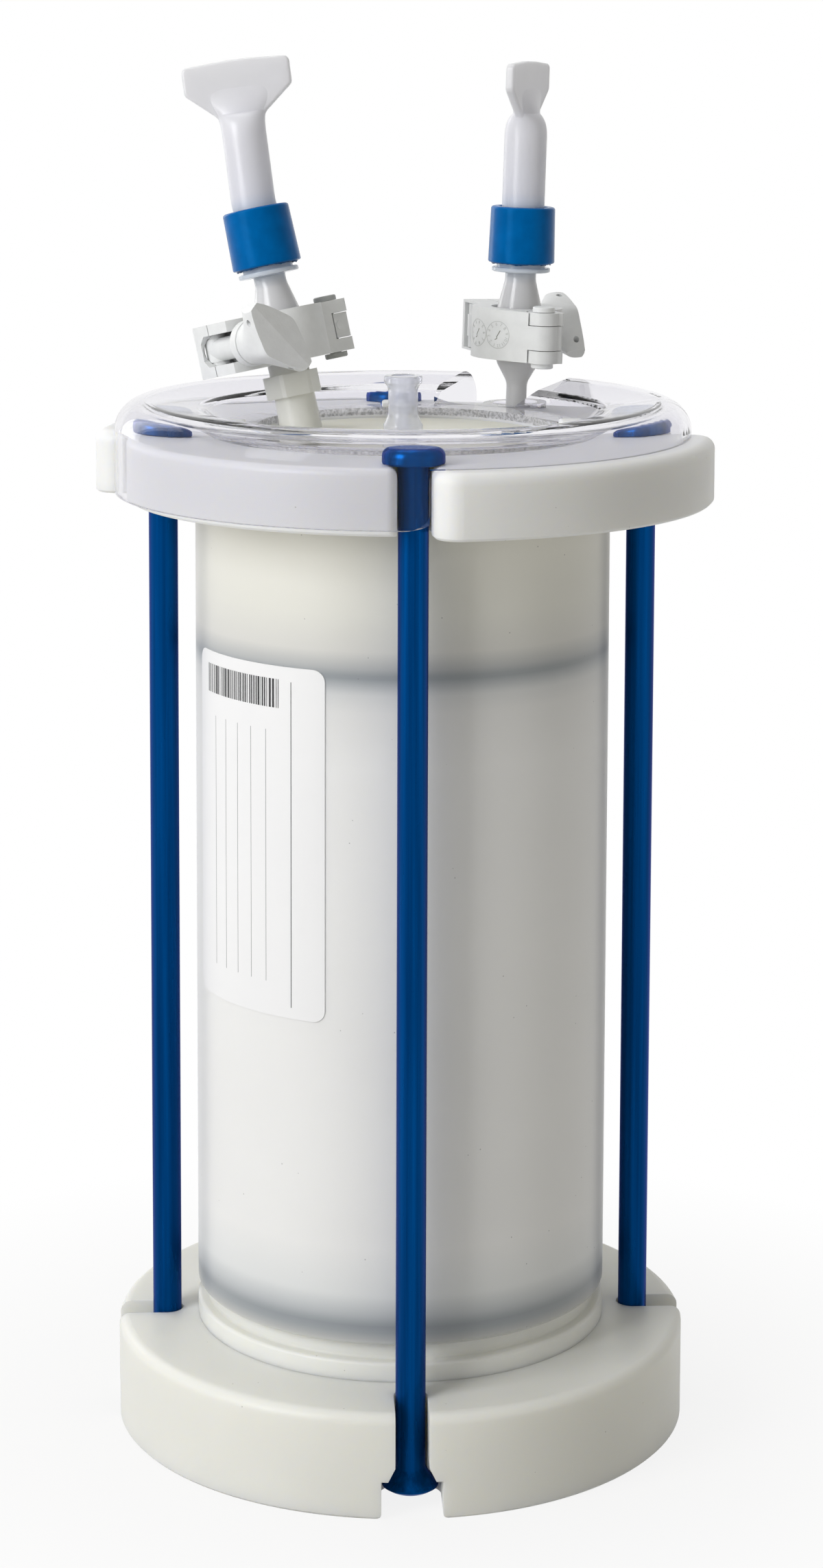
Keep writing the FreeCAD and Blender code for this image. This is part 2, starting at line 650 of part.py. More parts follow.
def ferrule(face, direction, neck_r):
    """Corners of a ferrule's flange, from its sealing face towards its neck."""
    drop = (FERRULE_R - neck_r) * math.tan(math.radians(FERRULE_TAPER))
    edge = face + direction * FERRULE_EDGE
    return [(FERRULE_R, face), (FERRULE_R, edge), (neck_r, edge + direction * drop)]


def left_adapter():
    """Adapter from the top adapter's leaning socket up to the left clamp, with a wrench band."""
    face = LEFT_CLAMP_UP - GASKET_T / 2
    neck_r = LEFT_NECK_D / 2
    flow_r = FLOW_D / 2
    corners = [(flow_r, -LEFT_SOCKET_H), (LEFT_SOCKET_D / 2, -LEFT_SOCKET_H), (LEFT_SOCKET_D / 2, 0),
               (LEFT_FOOT_D / 2, 0), (neck_r, BAND_UP)]
    corners += reversed(ferrule(face, -1, neck_r))
    corners += [(flow_r, face)]
    band = Part.makePolygon([Vector(BAND_FLATS / math.sqrt(3) * math.cos(math.radians(60 * i + 12)),
                                    BAND_FLATS / math.sqrt(3) * math.sin(math.radians(60 * i + 12)), BAND_UP)
                             for i in range(7)])
    band = Part.Face(Part.Wire(band)).extrude(Vector(0, 0, BAND_H))
    trim = cylinder(BAND_FLATS / math.sqrt(3) - 0.4, BAND_UP, BAND_UP + BAND_H)
    ring = band.common(trim).cut(cylinder(flow_r, BAND_UP - 1, BAND_UP + BAND_H + 1))
    return turned(corners).fuse(ring).removeSplitter()


def right_adapter():
    """Reducer from the yoke's riser hole up to the right clamp: a stem that opens into a bell."""
    face = RIGHT_CLAMP_UP - GASKET_T / 2
    stem_r, mouth_r, flow_r = RISER_D / 2, BELL_OPEN_D / 2 - 0.6, FLOW_D / 2
    wall = stem_r - flow_r
    corners = [(flow_r, STOP_H / 2), (stem_r, STOP_H / 2), (stem_r, 10.0, 6.0), (mouth_r, 17.2, 5.0)]
    corners += reversed(ferrule(face, -1, mouth_r))
    corners += [(mouth_r - wall, face), (mouth_r - wall, 17.6, 5.0), (flow_r, 10.4, 6.0)]
    bell = placed(turned(corners), RIGHT_LINE)
    spot = RISER_SPOT.x, RISER_SPOT.y
    stem = cylinder(stem_r, RISER_TOP, YOKE_TOP + STOP_H / 2, *spot)
    stop = cylinder(STOP_D / 2, YOKE_TOP, YOKE_TOP + STOP_H, *spot)
    flow = cylinder(flow_r, RISER_TOP - 1, YOKE_TOP + STOP_H / 2 + 0.2, *spot)
    return stem.fuse(stop).fuse(bell).cut(flow).removeSplitter()


def gasket():
    """Seal between two ferrules, centred on the clamp's middle."""
    half = GASKET_T / 2
    return turned([(FLOW_D / 2 + 3, -half), (FERRULE_R - 0.2, -half, 0.5), (FERRULE_R - 0.2, half, 0.5),
                   (FLOW_D / 2 + 3, half)])


def connector():
    """Bell above the clamp: ferrule, bell, ring, hub and the stem inside the cap."""
    face = GASKET_T / 2
    open_r, neck_r = BELL_OPEN_D / 2, BELL_NECK_D / 2
    ring_low = BELL_RING_UP
    ring_top = ring_low + BELL_RING_T
    hub_top = ring_top + HUB_H
    stem_r = STEM_D / 2
    bore_r = neck_r - BELL_WALL
    corners = [(open_r - BELL_WALL, face)] + ferrule(face, 1, open_r)
    corners += [(open_r, CLAMP_H / 2 - 1.5, 8.0), (neck_r, ring_low - 3.0, 8.0), (neck_r, ring_low, 0.6),
                (BELL_RING_D / 2, ring_low, 0.5), (BELL_RING_D / 2, ring_top, 0.5),
                (HUB_D / 2, ring_top), (HUB_D / 2, hub_top, 0.5), (stem_r, hub_top),
                (stem_r, hub_top + STEM_H, 0.6), (bore_r, hub_top + STEM_H),
                (bore_r, ring_low - 3.0, 8.0), (open_r - BELL_WALL, CLAMP_H / 2 - 1.5, 8.0)]
    return turned(corners)


def crimp_collar():
    """Blue collar round the foot of the cap, a little wider at its foot and lipped at its top."""
    low, high = COLLAR_UP, COLLAR_UP + COLLAR_H
    hub_top = BELL_RING_UP + BELL_RING_T + HUB_H
    bore_r = CAP_D / 2 + CAP_GAP
    hub_bore_r = HUB_D / 2 + CAP_GAP
    return turned([(hub_bore_r, low), (COLLAR_FOOT_D / 2, low, 0.6), (COLLAR_TOP_D / 2, high, 1.0),
                   (bore_r + 1.2, high, 0.5), (bore_r, high - 1.6), (bore_r, hub_top + CAP_GAP),
                   (hub_bore_r, hub_top + CAP_GAP)])


def end_cap(bend, turn):
    """Tube pinched flat at its end into a wide paddle, bent a little above its collar."""
    foot = BELL_RING_UP + BELL_RING_T + HUB_H + CAP_GAP
    bend_at = COLLAR_UP + COLLAR_H
    tube_r = CAP_D / 2
    pinch_up = CAP_RISE - PADDLE_H - SHOULDER_H
    pivot = Vector(0, 0, bend_at + CAP_BEND_UP)
    bend_axis = Rotation(UP, -turn).multVec(Vector(0, 1, 0))

    def section(rise, half_length, half_width, power=2):
        wire = oval(half_length, half_width, power, bend_at + rise)
        share = min(max(rise / (2 * CAP_BEND_UP), 0), 1)
        wire.rotate(pivot, bend_axis, bend * share)
        return wire

    body = Part.makeLoft([section(foot - bend_at, tube_r, tube_r), section(0, tube_r, tube_r)], True, True)
    rises = [pinch_up * i / 7 for i in range(6)]
    pinch = section(pinch_up, PINCH_W / 2, PINCH_T / 2)
    tube = Part.makeLoft([section(rise, tube_r, tube_r) for rise in rises]
                         + [section(pinch_up - 2.0, tube_r * 1.05, tube_r * 0.8), pinch], True, False)
    wedge_top = section(CAP_RISE - PADDLE_H + 0.7, PADDLE_W * 0.42, PADDLE_T / 2 + 0.05, 2.4)
    wedge = Part.makeLoft([pinch, wedge_top], True, True)
    paddle = cap_paddle(bend_at + pinch_up, bend_at + CAP_RISE)
    paddle.rotate(pivot, bend_axis, bend)
    for piece in (tube, wedge, paddle):
        body = body.fuse(piece)
    return turned_copy(body.cut(cylinder(CAP_BORE_D / 2, foot - 1, bend_at - 1)), turn)


def cap_paddle(low, high):
    """Flat plate with sloping shoulders and an arched top edge."""
    half, neck = PADDLE_W / 2, CAP_D / 2 - 0.3
    shoulder, side_top = high - PADDLE_H, high - PADDLE_ARCH
    corners = [(-neck, low - 6), (neck, low - 6), (neck, low - 1.5, 6.0), (half, shoulder, 2.5),
               (half, side_top, PADDLE_CORNER), (0, high, 3 * PADDLE_W), (-half, side_top, PADDLE_CORNER),
               (-half, shoulder, 2.5), (-neck, low - 1.5, 6.0)]
    plate = Part.Face(outline(corners)).extrude(Vector(0, PADDLE_T, 0))
    plate.translate(Vector(0, -PADDLE_T / 2, 0))
    rim = [edge for edge in plate.Edges if edge.BoundBox.YLength < TINY and edge.BoundBox.ZMax > shoulder]
    return plate.makeFillet(PADDLE_EDGE, rim)


def clamp_ring(radius):
    """Cylinder of a jaw's ring, and the hole for the ferrules."""
    half = CLAMP_H / 2
    edge = GASKET_T / 2 + FERRULE_EDGE + GROOVE_GAP
    bore_r = CLAMP_BORE_D / 2
    depth = FERRULE_R + GROOVE_GAP
    shoulder = edge + (depth - bore_r) * math.tan(math.radians(FERRULE_TAPER))
    groove = turned([(0, -half - 1), (bore_r, -half - 1), (bore_r, -shoulder), (depth, -edge),
                     (depth, edge), (bore_r, shoulder), (bore_r, half + 1), (0, half + 1)])
    return cylinder(radius, -half, half), groove


def hinge_root():
    """Jaw A's hinge root: straight from the ring to the knuckle on its own side."""
    spread = math.acos((CLAMP_RING_R - KNUCKLE_R) / HINGE_U)
    reach = math.cos(spread), math.sin(spread)
    half = CLAMP_H / 2
    root = prism([(0, -CLAMP_RING_R), (CLAMP_RING_R * reach[0], -CLAMP_RING_R * reach[1]),
                  (HINGE_U + KNUCKLE_R * reach[0], -KNUCKLE_R * reach[1]), (HINGE_U, 0), (0, 0)], -half, half)
    return root.fuse(cylinder(KNUCKLE_R, -half, half, HINGE_U))


def hinge_block(low_u, flat_v, half):
    """Square side of a knuckle, from one place along u to the block's end."""
    end = HINGE_U + BLOCK_END
    return prism([(low_u, 0), (end, 0), (end, flat_v, BLOCK_ROUNDING), (low_u, flat_v)], -half, half)


def half_space(sign):
    """Everything on one side of the seam between the jaws."""
    edge = SEAM / 2
    far = EAR_U * 2
    low, high = (edge, far) if sign > 0 else (-far, -edge)
    return box(-far, far, low, high, -CLAMP_H, CLAMP_H)


def pin_hole():
    return cylinder(PIN_D / 2 + PIN_GAP, -CLAMP_H, CLAMP_H, HINGE_U)


def jaw_a():
    """Jaw that holds the middle knuckle and the pocket of the swing bolt."""
    half = CLAMP_H / 2
    mid = KNUCKLE_MID_H / 2
    body, groove = clamp_ring(CLAMP_RING_R)
    ear = prism([(-EAR_U, -EAR_BACK, 1.2), (-EAR_U, EAR_BACK), (0, EAR_BACK), (0, -EAR_BACK)], -half, half)
    body = body.fuse([ear, hinge_root()]).common(half_space(-1)).cut(groove)
    outer = cylinder(KNUCKLE_R + KNUCKLE_GAP, mid, half + 1, HINGE_U)
    under = cylinder(KNUCKLE_R + KNUCKLE_GAP, -half - 1, -mid, HINGE_U)
    low_flat = BLOCK_V - MARK_DEPTH
    block = hinge_block(HINGE_U - BLOCK_WINDOW + BLOCK_GAP, low_flat, mid)
    mark = Part.makeCylinder(MARK_D / 2, low_flat + MARK_DEPTH / 2, Vector(HINGE_U, 0, 0), Vector(0, 1, 0))
    body = body.cut([outer, under]).fuse([cylinder(KNUCKLE_R, -mid, mid, HINGE_U), block, mark]).cut(pin_hole())
    bar_r = TBAR_D / 2 + RUNNING_GAP
    bar_half = TBAR_L / 2 + TBAR_END_GAP
    bar = cylinder(bar_r, -bar_half, bar_half, -PIVOT_U, -PIVOT_V)
    mouth = box(-PIVOT_U - bar_r, -PIVOT_U + bar_r, -EAR_BACK - 1, -PIVOT_V, -bar_half, bar_half)
    shank_r = SHANK_D / 2 + SHANK_GAP
    eye = cylinder(shank_r, -shank_r, shank_r, -PIVOT_U, -PIVOT_V)
    rest = along_bolt(cylinder(shank_r, 0, FORK_RADIUS))
    return body.cut([bar, mouth, eye, rest, shank_window(-PIVOT_V), swung_shank(shank_r)]).removeSplitter()


def shank_window(low):
    """Window that lets the bolt swing out of the ear's end, with cut corners at its closed side."""
    half = SHANK_D / 2 + WINDOW_OVER
    narrow = half - WINDOW_CORNER
    corners = [(low, -narrow), (low + WINDOW_CORNER, -half), (FORK_RADIUS, -half), (FORK_RADIUS, half),
               (low + WINDOW_CORNER, half), (low, narrow)]
    face = Part.Face(outline(corners, lambda a, b: Vector(-EAR_U - 1, a, b)))
    return face.extrude(Vector(EAR_U + 1 - PIVOT_U + SHANK_D / 2 + SHANK_GAP, 0, 0))


def swung_shank(radius):
    """Room for the shank at the end of its swing."""
    shank = Part.makeCylinder(radius, EAR_U, ORIGIN, Vector(0, 1, 0))
    shank.rotate(ORIGIN, UP, BOLT_SWING)
    shank.translate(Vector(-PIVOT_U, -PIVOT_V, 0))
    return shank


def fork_end():
    """Round nose of the fork, centred on the bolt's pivot so that the bolt swings off freely."""
    half = CLAMP_H / 2
    nose = cylinder(FORK_RADIUS, -half, half, -PIVOT_U, -PIVOT_V)
    return nose.common(box(-EAR_U, 0, 0, FORK_RADIUS, -half, half))


def jaw_b():
    """Jaw with the outer knuckles and the fork that the collar bears on."""
    half = CLAMP_H / 2
    mid = KNUCKLE_MID_H / 2 + KNUCKLE_SLIT
    body, groove = clamp_ring(JAW_B_RING_R)
    blend_u = PIVOT_U - COLLAR_RING_D / 2
    ear = fork_end().common(box(-EAR_U, -blend_u + 6, 0, FORK_RADIUS, -half, half))
    body = body.fuse([ear, hinge_block(0, BLOCK_V, half)]).common(half_space(1)).cut(groove)
    middle = cylinder(KNUCKLE_R + KNUCKLE_GAP, -mid, mid, HINGE_U)
    window = box(HINGE_U - BLOCK_WINDOW, EAR_U, -SEAM, BLOCK_V + 1, -mid, mid)
    body = body.fuse(cylinder(KNUCKLE_R, -half, half, HINGE_U)).cut([middle, window, pin_hole()])
    return body.cut(shank_window(-SEAM - WINDOW_CORNER - WINDOW_OVER)).removeSplitter()


def hinge_pin():
    half = CLAMP_H / 2
    head_low = half + PIN_HEAD_GAP
    head_r, pin_r = PIN_HEAD_D / 2, PIN_D / 2
    pin = turned([(0, -head_low - PIN_HEAD_H), (head_r, -head_low - PIN_HEAD_H, 0.6), (head_r, -head_low),
                  (pin_r, -head_low), (pin_r, head_low), (head_r, head_low),
                  (head_r, head_low + PIN_HEAD_H, 0.6), (0, head_low + PIN_HEAD_H)])
    pin.translate(Vector(HINGE_U, 0, 0))
    return pin


def along_bolt(shape):
    """Moves a shape built up along Z from its foot to the bolt's axis in the clamp's frame."""
    copy = turned_copy(shape, -90, Vector(1, 0, 0))
    copy.translate(Vector(-PIVOT_U, -PIVOT_V, 0))
    return copy


def swing_bolt():
    shank_r = SHANK_D / 2
    bar = cylinder(TBAR_D / 2, -TBAR_L / 2, TBAR_L / 2, -PIVOT_U, -PIVOT_V)
    eye = cylinder(shank_r, -shank_r, shank_r, -PIVOT_U, -PIVOT_V)
    shank = along_bolt(turned([(0, 0), (shank_r, 0), (shank_r, BOLT_L, 1.0), (0, BOLT_L)]))
    return shank.fuse([bar, eye]).removeSplitter()


def thrust_collar():
    low = FORK_RADIUS + FACE_GAP
    high = low + COLLAR_RING_T
    bore_r = SHANK_D / 2 + RUNNING_GAP
    ring_r = COLLAR_RING_D / 2
    step = high - COLLAR_STEP
    return along_bolt(turned([(bore_r, low), (ring_r, low, 1.3), (ring_r, step, 0.3),
                              (ring_r - COLLAR_STEP, step), (ring_r - COLLAR_STEP, high), (bore_r, high)]))


def wing_nut(turn):
    """Round hub that spreads into two wings with a low ridge along their outer face."""
    low = FORK_RADIUS + FACE_GAP + COLLAR_RING_T + SLIDE_GAP
    high = low + NUT_L
    hub_r = COLLAR_RING_D / 2 - 0.2
    reach = WING_L / 2 + WING_BLUNT
    sections = [oval(hub_r, hub_r, 2, low), oval(hub_r, hub_r, 2, low + 2.4),
                oval(reach * 0.94, WING_W * 0.5, WING_POWER, low + WING_START),
                oval(reach, WING_W / 2, WING_POWER, high)]
    body = Part.makeLoft(sections, True, False).common(cylinder(WING_L / 2, low - 1, high + 1))
    side = WING_W / 2 + 2
    roof = outline([(-side, low - 1), (side, low - 1), (side, high - WING_RIDGE * side / (WING_W / 2)),
                    (0, high), (-side, high - WING_RIDGE * side / (WING_W / 2))],
                   lambda a, b: Vector(-WING_L, a, b))
    body = body.common(Part.Face(roof).extrude(Vector(2 * WING_L, 0, 0)))
    bore = cylinder(SHANK_D / 2 + RUNNING_GAP, low - 1, BOLT_L + 0.4)
    holes = [Part.makeCylinder(WING_HOLE_D / 2, WING_W, Vector(out, -WING_W / 2, high - 3.4), Vector(0, 1, 0))
             for out in (-WING_HOLE_OUT, WING_HOLE_OUT)]
    body = body.cut([bore] + holes)
    return along_bolt(turned_copy(body, turn + 90))


def clamp_frame(line, clamp_up, turn, flipped):
    """Place of a clamp's own frame on its line."""
    spin = Rotation(UP, turn)
    if flipped:
        spin = spin.multiply(Rotation(Vector(1, 0, 0), 180))
    return line.multiply(Placement(Vector(0, 0, clamp_up), spin))


LEFT_CLAMP = clamp_frame(LEFT_LINE, LEFT_CLAMP_UP, LEFT_CLAMP_TURN, True)
RIGHT_CLAMP = clamp_frame(RIGHT_LINE, RIGHT_CLAMP_UP, RIGHT_CLAMP_TURN, False)


def line_pieces(side, line, clamp, clamp_up, adapter, bend, paddle_turn, wing_turn):
    """Everything on one of the two lines, keyed by node name."""
    joint = line.multiply(Placement(Vector(0, 0, clamp_up), Rotation()))
    on_joint = {"gasket": gasket(), "connector": connector(), "crimp_collar": crimp_collar(),
                "end_cap": end_cap(bend, paddle_turn)}
    on_clamp = {"clamp_jaw_a": jaw_a(), "clamp_jaw_b": jaw_b(), "hinge_pin": hinge_pin(),
                "swing_bolt": swing_bolt(), "thrust_collar": thrust_collar(), "wing_nut": wing_nut(wing_turn)}
    pieces = {side + "_adapter": adapter}
    pieces.update({side + "_" + name: placed(shape, joint) for name, shape in on_joint.items()})
    pieces.update({side + "_" + name: placed(shape, clamp) for name, shape in on_clamp.items()})
    return pieces


def all_pieces():
    pieces = {
        "base_plate": base_plate(),
        "bottom_lid": bottom_lid(),
        "bottom_o_ring": o_ring(TUBE_FOOT + LID_CORD_UP),
        "bottom_bed_support": bed_support(TUBE_FOOT + LID_PLUG_H),
        "resin_bed": resin_bed(),
        "column_tube": column_tube(),
        "top_bed_support": bed_support(BED_TOP),
        "top_o_ring": o_ring(ADAPTER_FOOT + ADAPTER_CORD_UP),
        "top_adapter": top_adapter(),
        "top_yoke": top_yoke(),
        "clear_cover": clear_cover(),
        "vent_fitting": vent_fitting(),
        "column_label": column_label(),
        "outlet_riser": outlet_riser(),
    }
    rod = tie_rod()
    rod.translate(Vector(ROD_CIRCLE_R, 0, 0))
    for name, copy in zip(("right", "back", "left", "front"), around(rod)):
        pieces["tie_rod_" + name] = copy
    pieces.update(line_pieces("left", LEFT_LINE, LEFT_CLAMP, LEFT_CLAMP_UP,
                              placed(left_adapter(), LEFT_LINE), LEFT_CAP_BEND, LEFT_PADDLE_TURN,
                              LEFT_WING_TURN))
    pieces.update(line_pieces("right", RIGHT_LINE, RIGHT_CLAMP, RIGHT_CLAMP_UP,
                              right_adapter(), RIGHT_CAP_BEND, RIGHT_PADDLE_TURN, RIGHT_WING_TURN))
    return pieces


def main():
    os.makedirs("parts", exist_ok=True)
    for name, shape in all_pieces().items():
        shape.exportStep(os.path.join("parts", name + ".step"))


if __name__ == "__main__":
    main()
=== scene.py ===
"""Looks for the chromatography column: materials, fine details, studio and camera.

Metres, in the same frame as the CAD, unless a name or comment says millimetres.
"""

import json
import math
import random

import bpy
from mathutils import Matrix, Vector, noise as field
from mathutils.bvhtree import BVHTree


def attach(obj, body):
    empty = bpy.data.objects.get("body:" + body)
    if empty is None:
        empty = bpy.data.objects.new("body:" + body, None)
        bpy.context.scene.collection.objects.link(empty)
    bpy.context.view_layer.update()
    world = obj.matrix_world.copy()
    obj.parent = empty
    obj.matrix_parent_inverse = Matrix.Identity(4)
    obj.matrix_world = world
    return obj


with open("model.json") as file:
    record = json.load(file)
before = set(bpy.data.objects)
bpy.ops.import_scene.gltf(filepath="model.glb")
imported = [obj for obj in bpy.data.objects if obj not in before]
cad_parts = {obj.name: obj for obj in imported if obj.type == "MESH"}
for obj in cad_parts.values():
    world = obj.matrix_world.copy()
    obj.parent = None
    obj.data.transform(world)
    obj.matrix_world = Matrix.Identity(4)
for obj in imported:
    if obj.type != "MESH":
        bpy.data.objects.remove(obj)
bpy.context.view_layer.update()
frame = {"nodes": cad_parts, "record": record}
NODES = frame["nodes"]
MM = 0.001


def frame_at(place_at, u, v, w):
    """Frame of the CAD that details follow, in millimetres: its place, then its three axes."""
    turn = Matrix((u, v, w)).transposed().to_4x4()
    return Matrix.Translation(Vector(place_at) * MM) @ turn @ Matrix.Scale(MM, 4)


LEFT_LINE = frame_at((-40.579, 12.87, 371.436), (0.97809, -0.02276, 0.20695),
                     (0.04342, 0.99445, -0.09585), (-0.20362, 0.10273, 0.97364))
RIGHT_LINE = frame_at((43.48, 62.02, 368.488), (0.99861, -0.0436, -0.02967),
                      (0.04362, 0.99905, 0.0), (0.02964, -0.00129, 0.99956))
RIGHT_CLAMP = frame_at((43.48, 62.02, 368.488), (0.33364, -0.94263, -0.01111),
                       (0.94223, 0.33382, -0.02751), (0.02964, -0.00129, 0.99956))

# Sizes of the CAD in millimetres; the first three are heights along a line from its clamp's middle
COLLAR_FOOT, COLLAR_TOP = 24.6, 44.4
CAP_TOP = 97.0
JAW_R = 16.7
LABEL_R = 70.39

# Sizes of the CAD in metres
COVER_HOLE_R = 0.0490
SKIRT_TOP = 0.338
TUBE_FOOT, TUBE_TOP = 0.045, 0.325


# Materials
def material(name, colour, roughness=0.5, **inputs):
    """Principled material; inputs are socket names with underscores for spaces."""
    mat = bpy.data.materials.new(name)
    mat.use_nodes = True
    shader = mat.node_tree.nodes["Principled BSDF"]
    shader.inputs["Base Color"].default_value = (*colour, 1.0)
    shader.inputs["Roughness"].default_value = roughness
    for key, value in inputs.items():
        socket = shader.inputs[key.replace("_", " ")]
        if isinstance(value, tuple) and len(value) == 3 and socket.type == "RGBA":
            value = (*value, 1.0)
        socket.default_value = value
    return mat


def add(mat, kind, **values):
    """Adds a node and sets its properties."""
    node = mat.node_tree.nodes.new(kind)
    for key, value in values.items():
        setattr(node, key, value)
    return node


def link(mat, source, target):
    mat.node_tree.links.new(source, target)


def feed(mat, value, target):
    """Gives an input a socket or a plain value."""
    if isinstance(value, bpy.types.NodeSocket):
        link(mat, value, target)
    else:
        target.default_value = value


def principled(mat):
    return mat.node_tree.nodes["Principled BSDF"]


def maths(mat, operation, first, second=0.0):
    node = add(mat, "ShaderNodeMath", operation=operation)
    feed(mat, first, node.inputs[0])
    feed(mat, second, node.inputs[1])
    return node.outputs[0]


def vectors(mat, operation, first, second=(0, 0, 0), output="Vector"):
    node = add(mat, "ShaderNodeVectorMath", operation=operation)
    feed(mat, first, node.inputs[0])
    feed(mat, second, node.inputs[1])
    return node.outputs[output]


def coordinates(mat):
    return add(mat, "ShaderNodeTexCoord").outputs["Object"]


def place(mat, scale=(1, 1, 1)):
    """Object coordinates, scaled."""
    return vectors(mat, "MULTIPLY", coordinates(mat), scale)


def parts_of(mat, vector):
    split = add(mat, "ShaderNodeSeparateXYZ")
    link(mat, vector, split.inputs["Vector"])
    return split.outputs


def span(mat, value, low, high):
    """The value mapped from low..high to 0..1."""
    node = add(mat, "ShaderNodeMapRange")
    node.inputs["From Min"].default_value = low
    node.inputs["From Max"].default_value = high
    link(mat, value, node.inputs["Value"])
    return node.outputs["Result"]


def height(mat, low, high):
    """Object Z mapped from low..high metres to 0..1."""
    return span(mat, parts_of(mat, coordinates(mat))["Z"], low, high)


def radius(mat):
    """Distance from the column's axis."""
    return vectors(mat, "LENGTH", place(mat, (1, 1, 0)), output="Value")


def along(mat, line):
    """Millimetres along a line of the CAD, from the middle of its clamp."""
    axis = line.to_3x3() @ Vector((0, 0, 1)) / MM
    from_clamp = vectors(mat, "SUBTRACT", coordinates(mat), tuple(line.translation))
    metres = vectors(mat, "DOT_PRODUCT", from_clamp, tuple(axis), output="Value")
    return maths(mat, "MULTIPLY", metres, 1 / MM)


def noise(mat, scale, detail=3.0, stretch=(1, 1, 1), roughness=0.5):
    node = add(mat, "ShaderNodeTexNoise")
    node.inputs["Scale"].default_value = scale
    node.inputs["Detail"].default_value = detail
    node.inputs["Roughness"].default_value = roughness
    link(mat, place(mat, stretch), node.inputs["Vector"])
    return node.outputs["Fac"]


def turning_marks(mat, scale=2600):
    """Fine rings about the column's axis, as a lathe leaves them."""
    joined = add(mat, "ShaderNodeCombineXYZ")
    link(mat, radius(mat), joined.inputs["X"])
    link(mat, parts_of(mat, coordinates(mat))["Z"], joined.inputs["Z"])
    node = add(mat, "ShaderNodeTexNoise")
    node.inputs["Scale"].default_value = scale
    node.inputs["Detail"].default_value = 1.0
    link(mat, joined.outputs["Vector"], node.inputs["Vector"])
    return node.outputs["Fac"]


def ramp(mat, source, stops):
    node = add(mat, "ShaderNodeValToRGB")
    band = node.color_ramp
    while len(band.elements) > 1:
        band.elements.remove(band.elements[-1])
    band.elements[0].position = stops[0][0]
    band.elements[0].color = (*stops[0][1], 1.0)
    for position, colour in stops[1:]:
        band.elements.new(position).color = (*colour, 1.0)
    link(mat, source, node.inputs["Fac"])
    return node.outputs["Color"]


def grey(mat, source, stops):
    return ramp(mat, source, [(position, (level, level, level)) for position, level in stops])


# Places of the colour sockets on the Mix node, whose names repeat
MIX_FACTOR, MIX_FIRST, MIX_SECOND, MIX_RESULT = 0, 6, 7, 2


def colours(mat, kind, first, second, factor=1.0):
    node = add(mat, "ShaderNodeMix", data_type="RGBA", blend_type=kind)
    feed(mat, factor, node.inputs[MIX_FACTOR])
    for value, index in ((first, MIX_FIRST), (second, MIX_SECOND)):
        feed(mat, (*value, 1.0) if isinstance(value, tuple) else value, node.inputs[index])
    return node.outputs[MIX_RESULT]


def paint(mat, source):
    link(mat, source, principled(mat).inputs["Base Color"])


def bump(mat, source, distance, strength=1.0):
    node = add(mat, "ShaderNodeBump")
    node.inputs["Distance"].default_value = distance
    node.inputs["Strength"].default_value = strength
    link(mat, source, node.inputs["Height"])
    link(mat, node.outputs["Normal"], principled(mat).inputs["Normal"])


def specks(mat, colour, base, scale=150, size=0.035):
    """Sparse dark specks in a milky plastic."""
    node = add(mat, "ShaderNodeTexVoronoi")
    node.inputs["Scale"].default_value = scale
    link(mat, place(mat), node.inputs["Vector"])
    spot = maths(mat, "LESS_THAN", node.outputs["Distance"], size)
    return colours(mat, "MIX", base, colour, maths(mat, "MULTIPLY", spot, 0.5))


def cloudy(mat, base, scale=14, low=0.95):
    """Slow uneven patches, as in thick milky plastic."""
    return colours(mat, "MULTIPLY", base, grey(mat, noise(mat, scale, 2), [(0.3, low), (0.7, 1.0)]))


def lets_lamps_through(mat, tint):
    """Clear plastic casts only a faint shadow."""
    path = add(mat, "ShaderNodeLightPath")
    lit = maths(mat, "MAXIMUM", path.outputs["Is Shadow Ray"], path.outputs["Is Diffuse Ray"])
    through = add(mat, "ShaderNodeBsdfTransparent")
    through.inputs["Color"].default_value = (*tint, 1.0)
    mix = add(mat, "ShaderNodeMixShader")
    link(mat, lit, mix.inputs[0])
    link(mat, principled(mat).outputs["BSDF"], mix.inputs[1])
    link(mat, through.outputs["BSDF"], mix.inputs[2])
    link(mat, mix.outputs["Shader"], mat.node_tree.nodes["Material Output"].inputs["Surface"])


# Colours by share of the height from the floor to STOPS_TOP; the darker tone at the floor is painted
# shade at the foot of the base
STOPS_TOP = 0.36
WHITE_STOPS = [(0.0, (0.845, 0.845, 0.795)), (0.10, (0.86, 0.86, 0.81)),
               (0.86, (0.83, 0.835, 0.80)), (0.90, (0.85, 0.855, 0.85)), (1.0, (0.855, 0.86, 0.86))]
IVORY_STOPS = [(0.0, (0.82, 0.815, 0.72)), (1.0, (0.80, 0.79, 0.69))]

# Colours of the tube by height in metres: it darkens over the O-ring at each end of the bed
# Painted shade darkens it below the lower O-ring down to the foot; above the upper O-ring the ivory
# plug shows warm through the wall, under a painted shadow of the yoke that is darkest at the top
TUBE_STOPS = [
    (TUBE_FOOT, (0.78, 0.78, 0.74)), (0.0490, (0.46, 0.47, 0.47)), (0.0518, (0.32, 0.345, 0.37)),
    (0.0540, (0.29, 0.315, 0.34)), (0.0575, (0.50, 0.525, 0.545)), (0.0640, (0.77, 0.785, 0.79)),
    (0.080, (0.875, 0.875, 0.87)),
    (0.240, (0.875, 0.875, 0.87)), (0.2580, (0.80, 0.80, 0.795)), (0.2640, (0.69, 0.70, 0.705)),
    (0.2672, (0.46, 0.485, 0.505)), (0.2697, (0.29, 0.315, 0.34)), (0.2725, (0.47, 0.485, 0.49)),
    (0.2780, (0.71, 0.705, 0.675)), (0.2900, (0.78, 0.775, 0.72)), (0.308, (0.80, 0.79, 0.725)),
    (TUBE_TOP, (0.73, 0.72, 0.64)),
]
